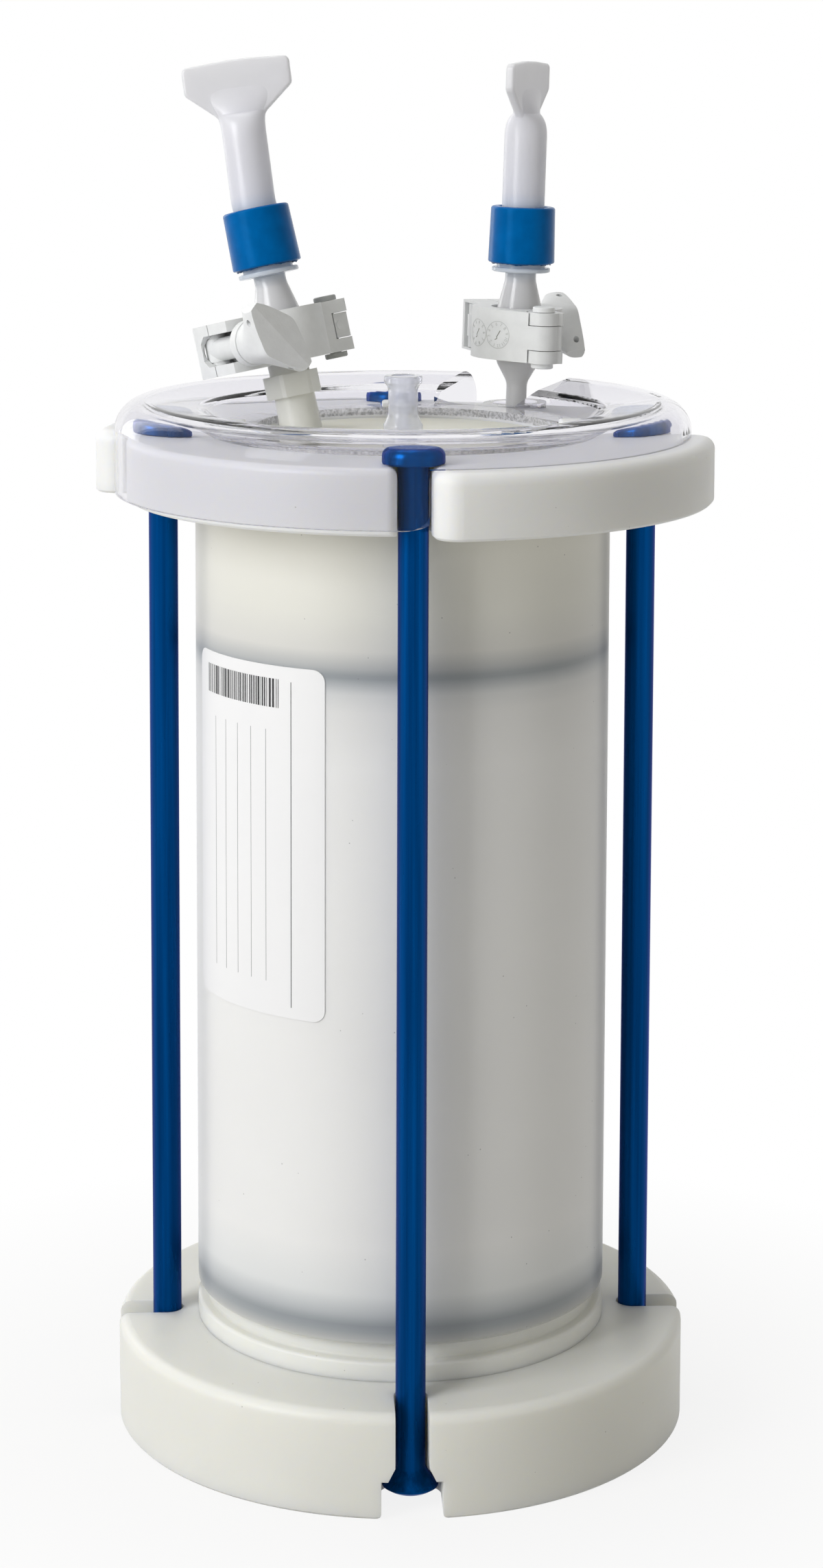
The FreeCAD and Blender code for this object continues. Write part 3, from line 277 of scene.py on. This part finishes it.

# Colours by millimetres along a line, from the middle of its clamp
# Towards the collar the connectors and caps turn darker and bluer: painted blue light and shade from
# the collar
CONNECTOR_STOPS = [(0.0, (0.86, 0.86, 0.89)), (17.0, (0.86, 0.86, 0.90)), (20.6, (0.66, 0.71, 0.80)),
                   (24.0, (0.55, 0.64, 0.78)), (30.0, (0.50, 0.61, 0.78))]
CAP_STOPS = [(COLLAR_TOP - 4, (0.60, 0.68, 0.81)), (COLLAR_TOP + 5, (0.79, 0.795, 0.86)),
             (COLLAR_TOP + 22, (0.83, 0.83, 0.88)), (CAP_TOP, (0.87, 0.87, 0.91))]


def shares_of(stops, low, high):
    """Stops placed by share of low..high."""
    return [((spot - low) / (high - low), tone) for spot, tone in stops]


def polypropylene(name, stops):
    """Thick milky plastic, turned on a lathe, with colours by height."""
    mat = material(name, (0.84, 0.85, 0.80), 0.42, Subsurface_Weight=0.6,
                   Subsurface_Radius=(1.0, 0.92, 0.7), Subsurface_Scale=0.009, Specular_IOR_Level=0.35)
    # Colours by height; with the white stops the darker tone at the floor is painted shade
    base = ramp(mat, height(mat, 0.0, STOPS_TOP), stops)
    paint(mat, specks(mat, (0.35, 0.33, 0.28), cloudy(mat, base), 120, 0.03))
    bump(mat, turning_marks(mat), 0.000012)
    rough = grey(mat, noise(mat, 60, 3), [(0.3, 0.36), (0.7, 0.5)])
    link(mat, rough, principled(mat).inputs["Roughness"])
    return mat


def tube_plastic():
    mat = material("translucent tube", (0.84, 0.84, 0.83), 0.34, Subsurface_Weight=0.25,
                   Subsurface_Radius=(1.0, 1.0, 0.9), Subsurface_Scale=0.004,
                   Specular_IOR_Level=0.3, Sheen_Weight=0.3, Sheen_Roughness=0.6)
    shares = shares_of(TUBE_STOPS, TUBE_FOOT, TUBE_TOP)
    # Colours by height, with painted shade at the foot and the painted shadow of the yoke at the top
    base = ramp(mat, height(mat, TUBE_FOOT, TUBE_TOP), shares)
    paint(mat, specks(mat, (0.2, 0.2, 0.2), cloudy(mat, base, 18, 0.97)))
    bump(mat, noise(mat, 300, 2, (1, 1, 0.1)), 0.000012)
    return mat


def rod_blue():
    """Anodised rod: streaks along it, partly drawing lines and partly painted reflections, small dents
    and rubs.
    """
    mat = material("anodised blue", (0.0, 0.055, 0.23), 0.36, Metallic=0.5,
                   Specular_IOR_Level=0.12, Specular_Tint=(0.05, 0.3, 0.8))
    # Darker and lighter blue streaks along the rod: partly drawing lines, partly painted reflection
    drawn_and_reflected = noise(mat, 420, 3, (1, 1, 0.012), 0.6)
    base = ramp(mat, drawn_and_reflected, [(0.3, (0.0, 0.030, 0.125)), (0.5, (0.0, 0.048, 0.19)),
                             (0.72, (0.0, 0.07, 0.27))])
    rubbed = maths(mat, "GREATER_THAN", noise(mat, 520, 5, (1, 1, 0.5), 0.8), 0.73)
    paint(mat, colours(mat, "MIX", base, (0.05, 0.16, 0.33), maths(mat, "MULTIPLY", rubbed, 0.5)))
    bump(mat, noise(mat, 900, 2), 0.00001)
    rough = grey(mat, noise(mat, 160, 4, (1, 1, 0.1)), [(0.3, 0.22), (0.7, 0.32)])
    link(mat, rough, principled(mat).inputs["Roughness"])
    return mat


def collar_blue():
    mat = material("gloss blue", (0.0, 0.15, 0.47), 0.26,
                   Specular_IOR_Level=0.2, Specular_Tint=(0.05, 0.4, 0.9))
    paint(mat, ramp(mat, noise(mat, 160, 3), [(0.3, (0.0, 0.10, 0.32)), (0.7, (0.0, 0.125, 0.40))]))
    bump(mat, noise(mat, 260, 3), 0.00005)
    return mat


def nylon(name, colour, scratched=False):
    """Moulded plastic with a fine grain; a handled piece is scratched as well."""
    mat = material(name, colour, 0.42, Subsurface_Weight=0.1, Subsurface_Radius=(1.0, 1.0, 0.9),
                   Subsurface_Scale=0.001, Specular_IOR_Level=0.3)
    darker = tuple(0.94 * level for level in colour)
    paint(mat, ramp(mat, noise(mat, 240, 4), [(0.3, darker), (0.7, colour)]))
    if scratched:
        grain = maths(mat, "ADD", noise(mat, 900, 2), noise(mat, 260, 4, (1, 0.12, 1), 0.8))
        bump(mat, grain, 0.00005)
    else:
        bump(mat, noise(mat, 900, 3), 0.00004)
    rough = grey(mat, noise(mat, 120, 3), [(0.3, 0.36), (0.7, 0.5)])
    link(mat, rough, principled(mat).inputs["Roughness"])
    return mat


def milky(name, colour, line=None, stops=None, **inputs):
    """Soft translucent plastic, with colours along a line where stops are given."""
    settings = dict(Subsurface_Weight=0.8, Subsurface_Radius=(1.0, 1.0, 1.0),
                    Subsurface_Scale=0.006, Specular_IOR_Level=0.45)
    settings.update(inputs)
    mat = material(name, colour, 0.3, **settings)
    if stops:
        low, high = stops[0][0], stops[-1][0]
        base = ramp(mat, span(mat, along(mat, line), low, high), shares_of(stops, low, high))
        paint(mat, cloudy(mat, base, 60, 0.96))
    bump(mat, noise(mat, 180, 2), 0.00006)
    return mat


POLISHED, SAWN = 0.03, 0.5
SAWN_CLOUDING = 0.55
EDGE_ON = 0.4
HOLE_SKIN = 0.00015


def clear_sheet():
    """Thermoformed sheet: glossy faces, pale rough faces where it was cut.

    The cut faces are the skirt's that don't face outwards, and the wall of the central hole.
    """
    mat = material("clear sheet", (0.93, 0.925, 0.955), POLISHED, Transmission_Weight=1.0, IOR=1.18)
    normal = add(mat, "ShaderNodeNewGeometry").outputs["True Normal"]
    outward = vectors(mat, "NORMALIZE", place(mat, (1, 1, 0)))
    facing = maths(mat, "ABSOLUTE", vectors(mat, "DOT_PRODUCT", normal, outward, output="Value"))
    low = maths(mat, "LESS_THAN", parts_of(mat, coordinates(mat))["Z"], SKIRT_TOP)
    skirt_cut = maths(mat, "MULTIPLY", low, maths(mat, "LESS_THAN", facing, EDGE_ON))
    hole_cut = maths(mat, "LESS_THAN", radius(mat), COVER_HOLE_R + HOLE_SKIN)
    cut = maths(mat, "MAXIMUM", skirt_cut, hole_cut)
    ragged = grey(mat, noise(mat, 900, 4, roughness=0.7), [(0.35, 0.35), (0.6, 0.95)])
    paint(mat, colours(mat, "MULTIPLY", (0.87, 0.865, 0.895), ragged, cut))
    rough = maths(mat, "ADD", maths(mat, "MULTIPLY", cut, SAWN), POLISHED)
    link(mat, rough, principled(mat).inputs["Roughness"])
    clear_part = maths(mat, "SUBTRACT", 1.0, maths(mat, "MULTIPLY", cut, SAWN_CLOUDING))
    link(mat, clear_part, principled(mat).inputs["Transmission Weight"])
    bump(mat, noise(mat, 26, 2), 0.0002, 0.5)
    lets_lamps_through(mat, (0.94, 0.94, 0.96))
    return mat


def vent_clear():
    mat = material("clear fitting", (0.84, 0.85, 0.91), 0.08, Transmission_Weight=0.68, IOR=1.4)
    bump(mat, noise(mat, 220, 2), 0.00004)
    lets_lamps_through(mat, (0.9, 0.91, 0.95))
    return mat


def paper():
    mat = material("white label", (0.90, 0.90, 0.91), 0.38, Specular_IOR_Level=0.35)
    paint(mat, cloudy(mat, (0.90, 0.90, 0.91), 30, 0.985))
    bump(mat, noise(mat, 1200, 3), 0.000008)
    return mat


def ink():
    mat = material("label ink", (0.025, 0.025, 0.027), 0.45)
    worn = [(0.3, (0.02, 0.02, 0.022)), (0.7, (0.04, 0.04, 0.043))]
    paint(mat, ramp(mat, noise(mat, 900, 3), worn))
    return mat


# Materials by slot of the record, then those of nodes that have their own
WHITE_NYLON = (0.83, 0.84, 0.84)
CAP_TONE = (0.82, 0.82, 0.87)
CONNECTOR_TONE = (0.74, 0.74, 0.80)
MATERIALS = {
    "polypropylene": polypropylene("milky polypropylene", WHITE_STOPS),
    "tube_plastic": tube_plastic(),
    "steel_blue": rod_blue(),
    "collar_blue": collar_blue(),
    "clear_sheet": clear_sheet(),
    "vent_clear": vent_clear(),
    "nylon": nylon("white nylon", WHITE_NYLON),
    "seal": nylon("seal", (0.50, 0.56, 0.62)),
    "label": paper(),
    "resin": nylon("resin", (0.85, 0.84, 0.80)),
}
OWN = {
    "top_adapter": polypropylene("ivory polypropylene", IVORY_STOPS),
    "left_wing_nut": nylon("scratched nylon", WHITE_NYLON, True),
    # The left hinge pin is white nylon painted grey: painted shade
    "left_hinge_pin": nylon("nylon painted grey with shade", (0.42, 0.43, 0.42)),
    "left_adapter": milky("ivory fitting", (0.84, 0.84, 0.79), Transmission_Weight=0.1),
    "right_adapter": milky("milky fitting", (0.88, 0.875, 0.87), Transmission_Weight=0.05),
}
# The stops of the caps and connectors hold painted blue light and shade from the collar
for side, line in (("left", LEFT_LINE), ("right", RIGHT_LINE)):
    OWN[side + "_end_cap"] = milky(side + " cap plastic", CAP_TONE, line, CAP_STOPS,
                                   Transmission_Weight=0.2)
    OWN[side + "_connector"] = milky(side + " fitting plastic", CONNECTOR_TONE, line, CONNECTOR_STOPS,
                                     Transmission_Weight=0.1, Roughness=0.14)
for entry in frame["record"]["subparts"]:
    node = NODES[entry["node"]]
    node.data.materials.clear()
    node.data.materials.append(OWN.get(entry["node"]) or MATERIALS[entry["material_slot"]])


# Fine details that the CAD leaves out
def piece(name, points, faces, mat, body, slot, smooth=True):
    """Mesh piece in metres, riding on a body and finished with the given material; the slot is not
    used.
    """
    mesh = bpy.data.meshes.new(name)
    mesh.from_pydata(points, [], faces)
    mesh.polygons.foreach_set("use_smooth", [smooth] * len(mesh.polygons))
    mesh.materials.append(mat)
    obj = bpy.data.objects.new(name, mesh)
    bpy.context.collection.objects.link(obj)
    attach(obj, body)


def swept(sections, closed):
    """Faces between equal sections of a closed profile; open sweeps get end faces."""
    size = len(sections[0])
    points = [spot for section in sections for spot in section]
    faces = []
    count = len(sections)
    for i in range(count if closed else count - 1):
        here, there = i * size, (i + 1) % count * size
        for j in range(size):
            k = (j + 1) % size
            faces.append((here + j, here + k, there + k, there + j))
    if not closed:
        faces.append(tuple(reversed(range(size))))
        faces.append(tuple(range((count - 1) * size, count * size)))
    return points, faces


def skin(name):
    """Faces of a loaded body, to cast rays at."""
    obj = NODES[name]
    corners = [obj.matrix_world @ corner.co for corner in obj.data.vertices]
    return BVHTree.FromPolygons(corners, [tuple(face.vertices) for face in obj.data.polygons])


RIGHT_JAW = skin("right_clamp_jaw_a")
CAST_FROM = 30.0


def on_jaw(angle):
    """Maps millimetres (right, up, out) at an angle round the right jaw to metres on its surface."""
    turn = math.radians(angle)
    outward = Vector((math.cos(turn), math.sin(turn), 0))
    sideways = Vector((-math.sin(turn), math.cos(turn), 0))
    inward = (RIGHT_CLAMP.to_3x3() @ -outward).normalized()

    def spot(right, up, out):
        flat = sideways * right + Vector((0, 0, up))
        gap = RIGHT_JAW.ray_cast(RIGHT_CLAMP @ (outward * CAST_FROM + flat), inward)[3]
        ring = math.sqrt(JAW_R ** 2 - right ** 2)
        reach = ring if gap is None else max(ring, CAST_FROM - gap / MM)
        return RIGHT_CLAMP @ (outward * (reach + out) + flat)
    return spot


# The right jaw's date dials, in millimetres; a pointer is a list of (start, end, half width)
DIAL_R = 4.75
DIAL_LINE = 0.13
DIAL_STEPS = 72
DIGIT_R = 3.75
FONT_SIZE = 1.25 * 1.35
RISE, SUNK = 0.07, -0.05
POINTER_RISE = 0.03
POINTER = (((-0.45, -0.75), (1.0, 1.55), 0.16), ((-1.15, -1.75), (-0.25, -1.3), 0.14),
           ((-0.25, -1.3), (-0.45, -0.75), 0.14))
# The ring and numbers are painted grey as the shade of their relief, and the pointer dark as the shade
# in an engraved groove
DIAL_PAINTED_SHADE = nylon("dial marks painted with shade", (0.60, 0.61, 0.60))
POINTER_PAINTED_SHADE = nylon("pointer painted with groove shade", (0.24, 0.24, 0.20))


def dial_ring(spot):
    """Raised line round the dial, narrower at its top."""
    sections = []
    for i in range(DIAL_STEPS):
        turn = math.radians(360.0 * i / DIAL_STEPS)
        profile = ((-DIAL_LINE, SUNK), (-DIAL_LINE * 0.6, RISE),
                   (DIAL_LINE * 0.6, RISE), (DIAL_LINE, SUNK))
        sections.append([spot((DIAL_R + side) * math.cos(turn), (DIAL_R + side) * math.sin(turn), out)
                         for side, out in profile])
    return swept(sections, True)


def digits(text, turn, spot):
    """Raised number at an angle of the dial, its top outwards: points in metres, and faces."""
    curve = bpy.data.curves.new("digits", "FONT")
    curve.body = text
    curve.size = FONT_SIZE
    curve.extrude = (RISE - SUNK) / 2
    curve.align_x, curve.align_y = "CENTER", "CENTER"
    curve.resolution_u = 3
    holder = bpy.data.objects.new("digits", curve)
    mesh = bpy.data.meshes.new_from_object(holder)
    back = turn - math.pi / 2
    points = []
    for vertex in mesh.vertices:
        x, y = vertex.co.x, vertex.co.y + DIGIT_R
        out = RISE if vertex.co.z > 0 else SUNK
        points.append(spot(x * math.cos(back) - y * math.sin(back),
                           x * math.sin(back) + y * math.cos(back), out))
    faces = [tuple(poly.vertices) for poly in mesh.polygons]
    bpy.data.objects.remove(holder)
    bpy.data.meshes.remove(mesh)
    bpy.data.curves.remove(curve)
    return points, faces


def join(shapes):
    """One mesh from several lists of points and faces."""
    points, faces = [], []
    for some_points, some_faces in shapes:
        first = len(points)
        points.extend(some_points)
        faces.extend(tuple(index + first for index in face) for face in some_faces)
    return points, faces


def bar(spot, start, end, half_width):
    """Raised bar between two places of the dial, in millimetres."""
    run = (Vector(end) - Vector(start)).normalized()
    side = Vector((-run.y, run.x)) * half_width
    sections = []
    for share in (0.0, 0.5, 1.0):
        middle = Vector(start).lerp(Vector(end), share)
        low, high = middle - side, middle + side
        sections.append([spot(low.x, low.y, SUNK), spot(low.x, low.y, POINTER_RISE),
                         spot(high.x, high.y, POINTER_RISE), spot(high.x, high.y, SUNK)])
    return swept(sections, False)


def dial(name, angle, turned_by, numbers):
    """Date dial moulded in the right jaw: a ring, its numbers and a pointer, coloured with painted
    shade of their relief.
    """
    spot = on_jaw(angle)
    raised = [dial_ring(spot)]
    for i, number in enumerate(numbers):
        turn = math.radians(turned_by - 360 * i / len(numbers))
        raised.append(digits(str(number), turn, spot))
    piece(name + "_numbers", *join(raised), DIAL_PAINTED_SHADE, "column", "nylon", False)
    pointer = [bar(spot, *stroke) for stroke in POINTER]
    piece(name + "_pointer", *join(pointer), POINTER_PAINTED_SHADE, "column", "nylon", False)


dial("right_month_dial", angle=-49.5, turned_by=250.0, numbers=range(1, 13))
dial("right_year_dial", angle=-83.5, turned_by=220.0, numbers=range(10))

# The flash, in millimetres; the radii lie just inside and outside the collar's foot
FLASH_IN, FLASH_OUT = 9.9, 10.55
FLASH_STEPS = 220
FLASH_TUCK = 0.3
FLASH_BLUE = nylon("flash blue", (0.0, 0.07, 0.20))


def flash(name, line, body):
    """Thin ragged edge of plastic squeezed out under a crimp collar."""
    random.seed(len(name))
    shift = Vector((random.uniform(0, 50), random.uniform(0, 50), 0))
    sections = []
    for i in range(FLASH_STEPS):
        turn = math.tau * i / FLASH_STEPS
        wave = field.noise(Vector((3.2 * math.cos(turn), 3.2 * math.sin(turn), 0.7)) + shift)
        fine = field.noise(Vector((13 * math.cos(turn), 13 * math.sin(turn), 4.1)) + shift)
        drop = 0.35 + 0.45 * max(wave, -0.4) + 0.35 * max(fine, 0.0)
        profile = ((FLASH_IN, COLLAR_FOOT + FLASH_TUCK), (FLASH_OUT, COLLAR_FOOT + FLASH_TUCK),
                   (FLASH_OUT, COLLAR_FOOT - drop * 0.7), (FLASH_OUT - 0.2, COLLAR_FOOT - drop),
                   (FLASH_IN + 0.1, COLLAR_FOOT - drop * 0.8))
        sections.append([line @ Vector((r * math.cos(turn), r * math.sin(turn), up))
                         for r, up in profile])
    piece(name, *swept(sections, True), FLASH_BLUE, body, "collar_blue")


flash("left_collar_flash", LEFT_LINE, "column")
flash("right_collar_flash", RIGHT_LINE, "column")

# The label's marks: millimetres, and degrees round the column
MARK_SKIN = 0.03
ARC_STEP = 1.5
RULE = (-123.2, -123.0, 158.5, 266.5)
BARS_FROM, BARS_TO, BARS_FOOT, BARS_TOP = -158.0, -126.5, 257.5, 267.0
BAR_WIDTHS = (0.22, 0.22, 0.45, 0.7)
BAR_GAPS = (0.28, 0.4, 0.6)
LINES_AT = (-153.5, -148.0, -142.5, -137.0, -131.5)
LINE_WIDTH, LINES_FOOT, LINES_TOP = 0.13, 166.0, 250.0


def label_patch(from_deg, to_deg, low, high):
    """Printed patch on the label, between two directions and two heights in millimetres."""
    steps = max(1, math.ceil((to_deg - from_deg) / ARC_STEP))
    under = LABEL_R - MARK_SKIN
    sections = []
    for i in range(steps + 1):
        turn = math.radians(from_deg + (to_deg - from_deg) * i / steps)
        sections.append([Vector((r * math.cos(turn), r * math.sin(turn), z)) * MM
                         for r, z in ((under, low), (LABEL_R, low), (LABEL_R, high), (under, high))])
    return swept(sections, False)


def label_marks():
    """Plain marks only: a rule, a block of bars that says nothing, and blank lines to write on."""
    random.seed(5)
    patches = [label_patch(*RULE)]
    spot = BARS_FROM
    while spot < BARS_TO:
        width = random.choice(BAR_WIDTHS)
        patches.append(label_patch(spot, spot + width, BARS_FOOT, BARS_TOP))
        spot += width + random.choice(BAR_GAPS)
    piece("label_bars", *join(patches), ink(), "column", "label", False)
    lines = [label_patch(turn, turn + LINE_WIDTH, LINES_FOOT, LINES_TOP) for turn in LINES_AT]
    faint = nylon("label line grey", (0.30, 0.30, 0.31))
    piece("label_lines", *join(lines), faint, "column", "label", False)


label_marks()


# Studio
def seen_rays(tree):
    """1 for camera, glossy and transmission rays."""
    path = tree.nodes.new("ShaderNodeLightPath")
    seen = path.outputs["Is Camera Ray"]
    for kind in ("Is Glossy Ray", "Is Transmission Ray"):
        either = tree.nodes.new("ShaderNodeMath")
        either.operation = "MAXIMUM"
        tree.links.new(seen, either.inputs[0])
        tree.links.new(path.outputs[kind], either.inputs[1])
        seen = either.outputs[0]
    return seen


def floor_material():
    """Pale floor: near the object it takes the shadow, further off it is plain white."""
    mat = material("floor", (0.66, 0.65, 0.63), 0.9, Specular_IOR_Level=0.1)
    tree = mat.node_tree
    glow = add(mat, "ShaderNodeEmission")
    glow.inputs["Color"].default_value = (1, 1, 1, 1)
    glow.inputs["Strength"].default_value = 1.0
    away = vectors(mat, "LENGTH", coordinates(mat), output="Value")
    share = grey(mat, span(mat, away, 0.0, 1.0), [(0.1, 0.86), (0.26, 1.0)])
    mix = add(mat, "ShaderNodeMixShader")
    link(mat, maths(mat, "MULTIPLY", seen_rays(tree), share), mix.inputs["Fac"])
    link(mat, principled(mat).outputs["BSDF"], mix.inputs[1])
    link(mat, glow.outputs["Emission"], mix.inputs[2])
    link(mat, mix.outputs["Shader"], tree.nodes["Material Output"].inputs["Surface"])
    return mat


bpy.ops.mesh.primitive_plane_add(size=16.0)
floor = bpy.context.object
floor.name = "floor"
floor.data.materials.append(floor_material())

WORLD_LEVEL = 0.27


def studio_world():
    """Dim, slightly warm world that lights the object; seen straight or mirrored it is white."""
    world = bpy.data.worlds.new("studio")
    bpy.context.scene.world = world
    world.use_nodes = True
    tree = world.node_tree
    background = tree.nodes["Background"]
    background.inputs["Color"].default_value = (1.0, 0.985, 0.92, 1)
    background.inputs["Strength"].default_value = WORLD_LEVEL
    seen = tree.nodes.new("ShaderNodeBackground")
    seen.inputs["Color"].default_value = (1, 1, 1, 1)
    seen.inputs["Strength"].default_value = 1.0
    mix = tree.nodes.new("ShaderNodeMixShader")
    tree.links.new(seen_rays(tree), mix.inputs["Fac"])
    tree.links.new(background.outputs["Background"], mix.inputs[1])
    tree.links.new(seen.outputs["Background"], mix.inputs[2])
    tree.links.new(mix.outputs["Shader"], tree.nodes["World Output"].inputs["Surface"])


studio_world()


def lamp(name, place_at, aim, width, tall, power, colour=(1, 1, 1)):
    """Rectangular lamp of a size in metres and a power in watts, aimed at a place."""
    data = bpy.data.lights.new(name, "AREA")
    data.shape = "RECTANGLE"
    data.size, data.size_y = width, tall
    data.energy = power
    data.color = colour
    obj = bpy.data.objects.new(name, data)
    bpy.context.collection.objects.link(obj)
    obj.location = place_at
    obj.rotation_mode = "QUATERNION"
    obj.rotation_quaternion = (Vector(aim) - Vector(place_at)).to_track_quat("-Z", "Y")


lamp("key", (-1.2, -0.9, 0.85), (0, 0, 0.22), width=0.7, tall=1.1, power=18, colour=(0.985, 0.99, 1.0))
lamp("fill", (1.1, -0.8, 0.25), (0, 0, 0.2), width=0.8, tall=0.8, power=1.6, colour=(1.0, 0.97, 0.9))
lamp("top", (-0.1, 0.2, 1.4), (0, 0, 0.3), width=0.8, tall=0.8, power=4)
lamp("rim", (-0.8, 0.9, 0.7), (0, 0, 0.3), width=0.4, tall=0.9, power=2)


# Camera
PHOTO_LONG_SIDE = 2287
SENSOR_MM = 36.0


def camera(spot, yaw, pitch, roll, focal_px, shift_px):
    """Camera from the fit, its place in millimetres: yaw to the right, pitch down, roll clockwise."""
    data = bpy.data.cameras.new("camera")
    data.sensor_width = SENSOR_MM
    data.lens = focal_px / PHOTO_LONG_SIDE * SENSOR_MM
    data.shift_y = shift_px / PHOTO_LONG_SIDE
    data.clip_start, data.clip_end = 0.05, 50
    ahead = Vector((math.sin(yaw) * math.cos(pitch), math.cos(yaw) * math.cos(pitch),
                    -math.sin(pitch)))
    right = Vector((math.cos(yaw), -math.sin(yaw), 0))
    up = right.cross(ahead)
    rolled_right = right * math.cos(roll) + up * math.sin(roll)
    rolled_up = up * math.cos(roll) - right * math.sin(roll)
    turn = Matrix((rolled_right, rolled_up, -ahead)).transposed()
    obj = bpy.data.objects.new("camera", data)
    bpy.context.collection.objects.link(obj)
    obj.matrix_world = Matrix.Translation(Vector(spot) * MM) @ turn.to_4x4()
    bpy.context.scene.camera = obj


camera((-48.897, -1168.932, 486.676), yaw=0.04425, pitch=0.12235, roll=0.00329,
       focal_px=5099.723, shift_px=-523.5)
bpy.context.scene.view_settings.view_transform = "Standard"
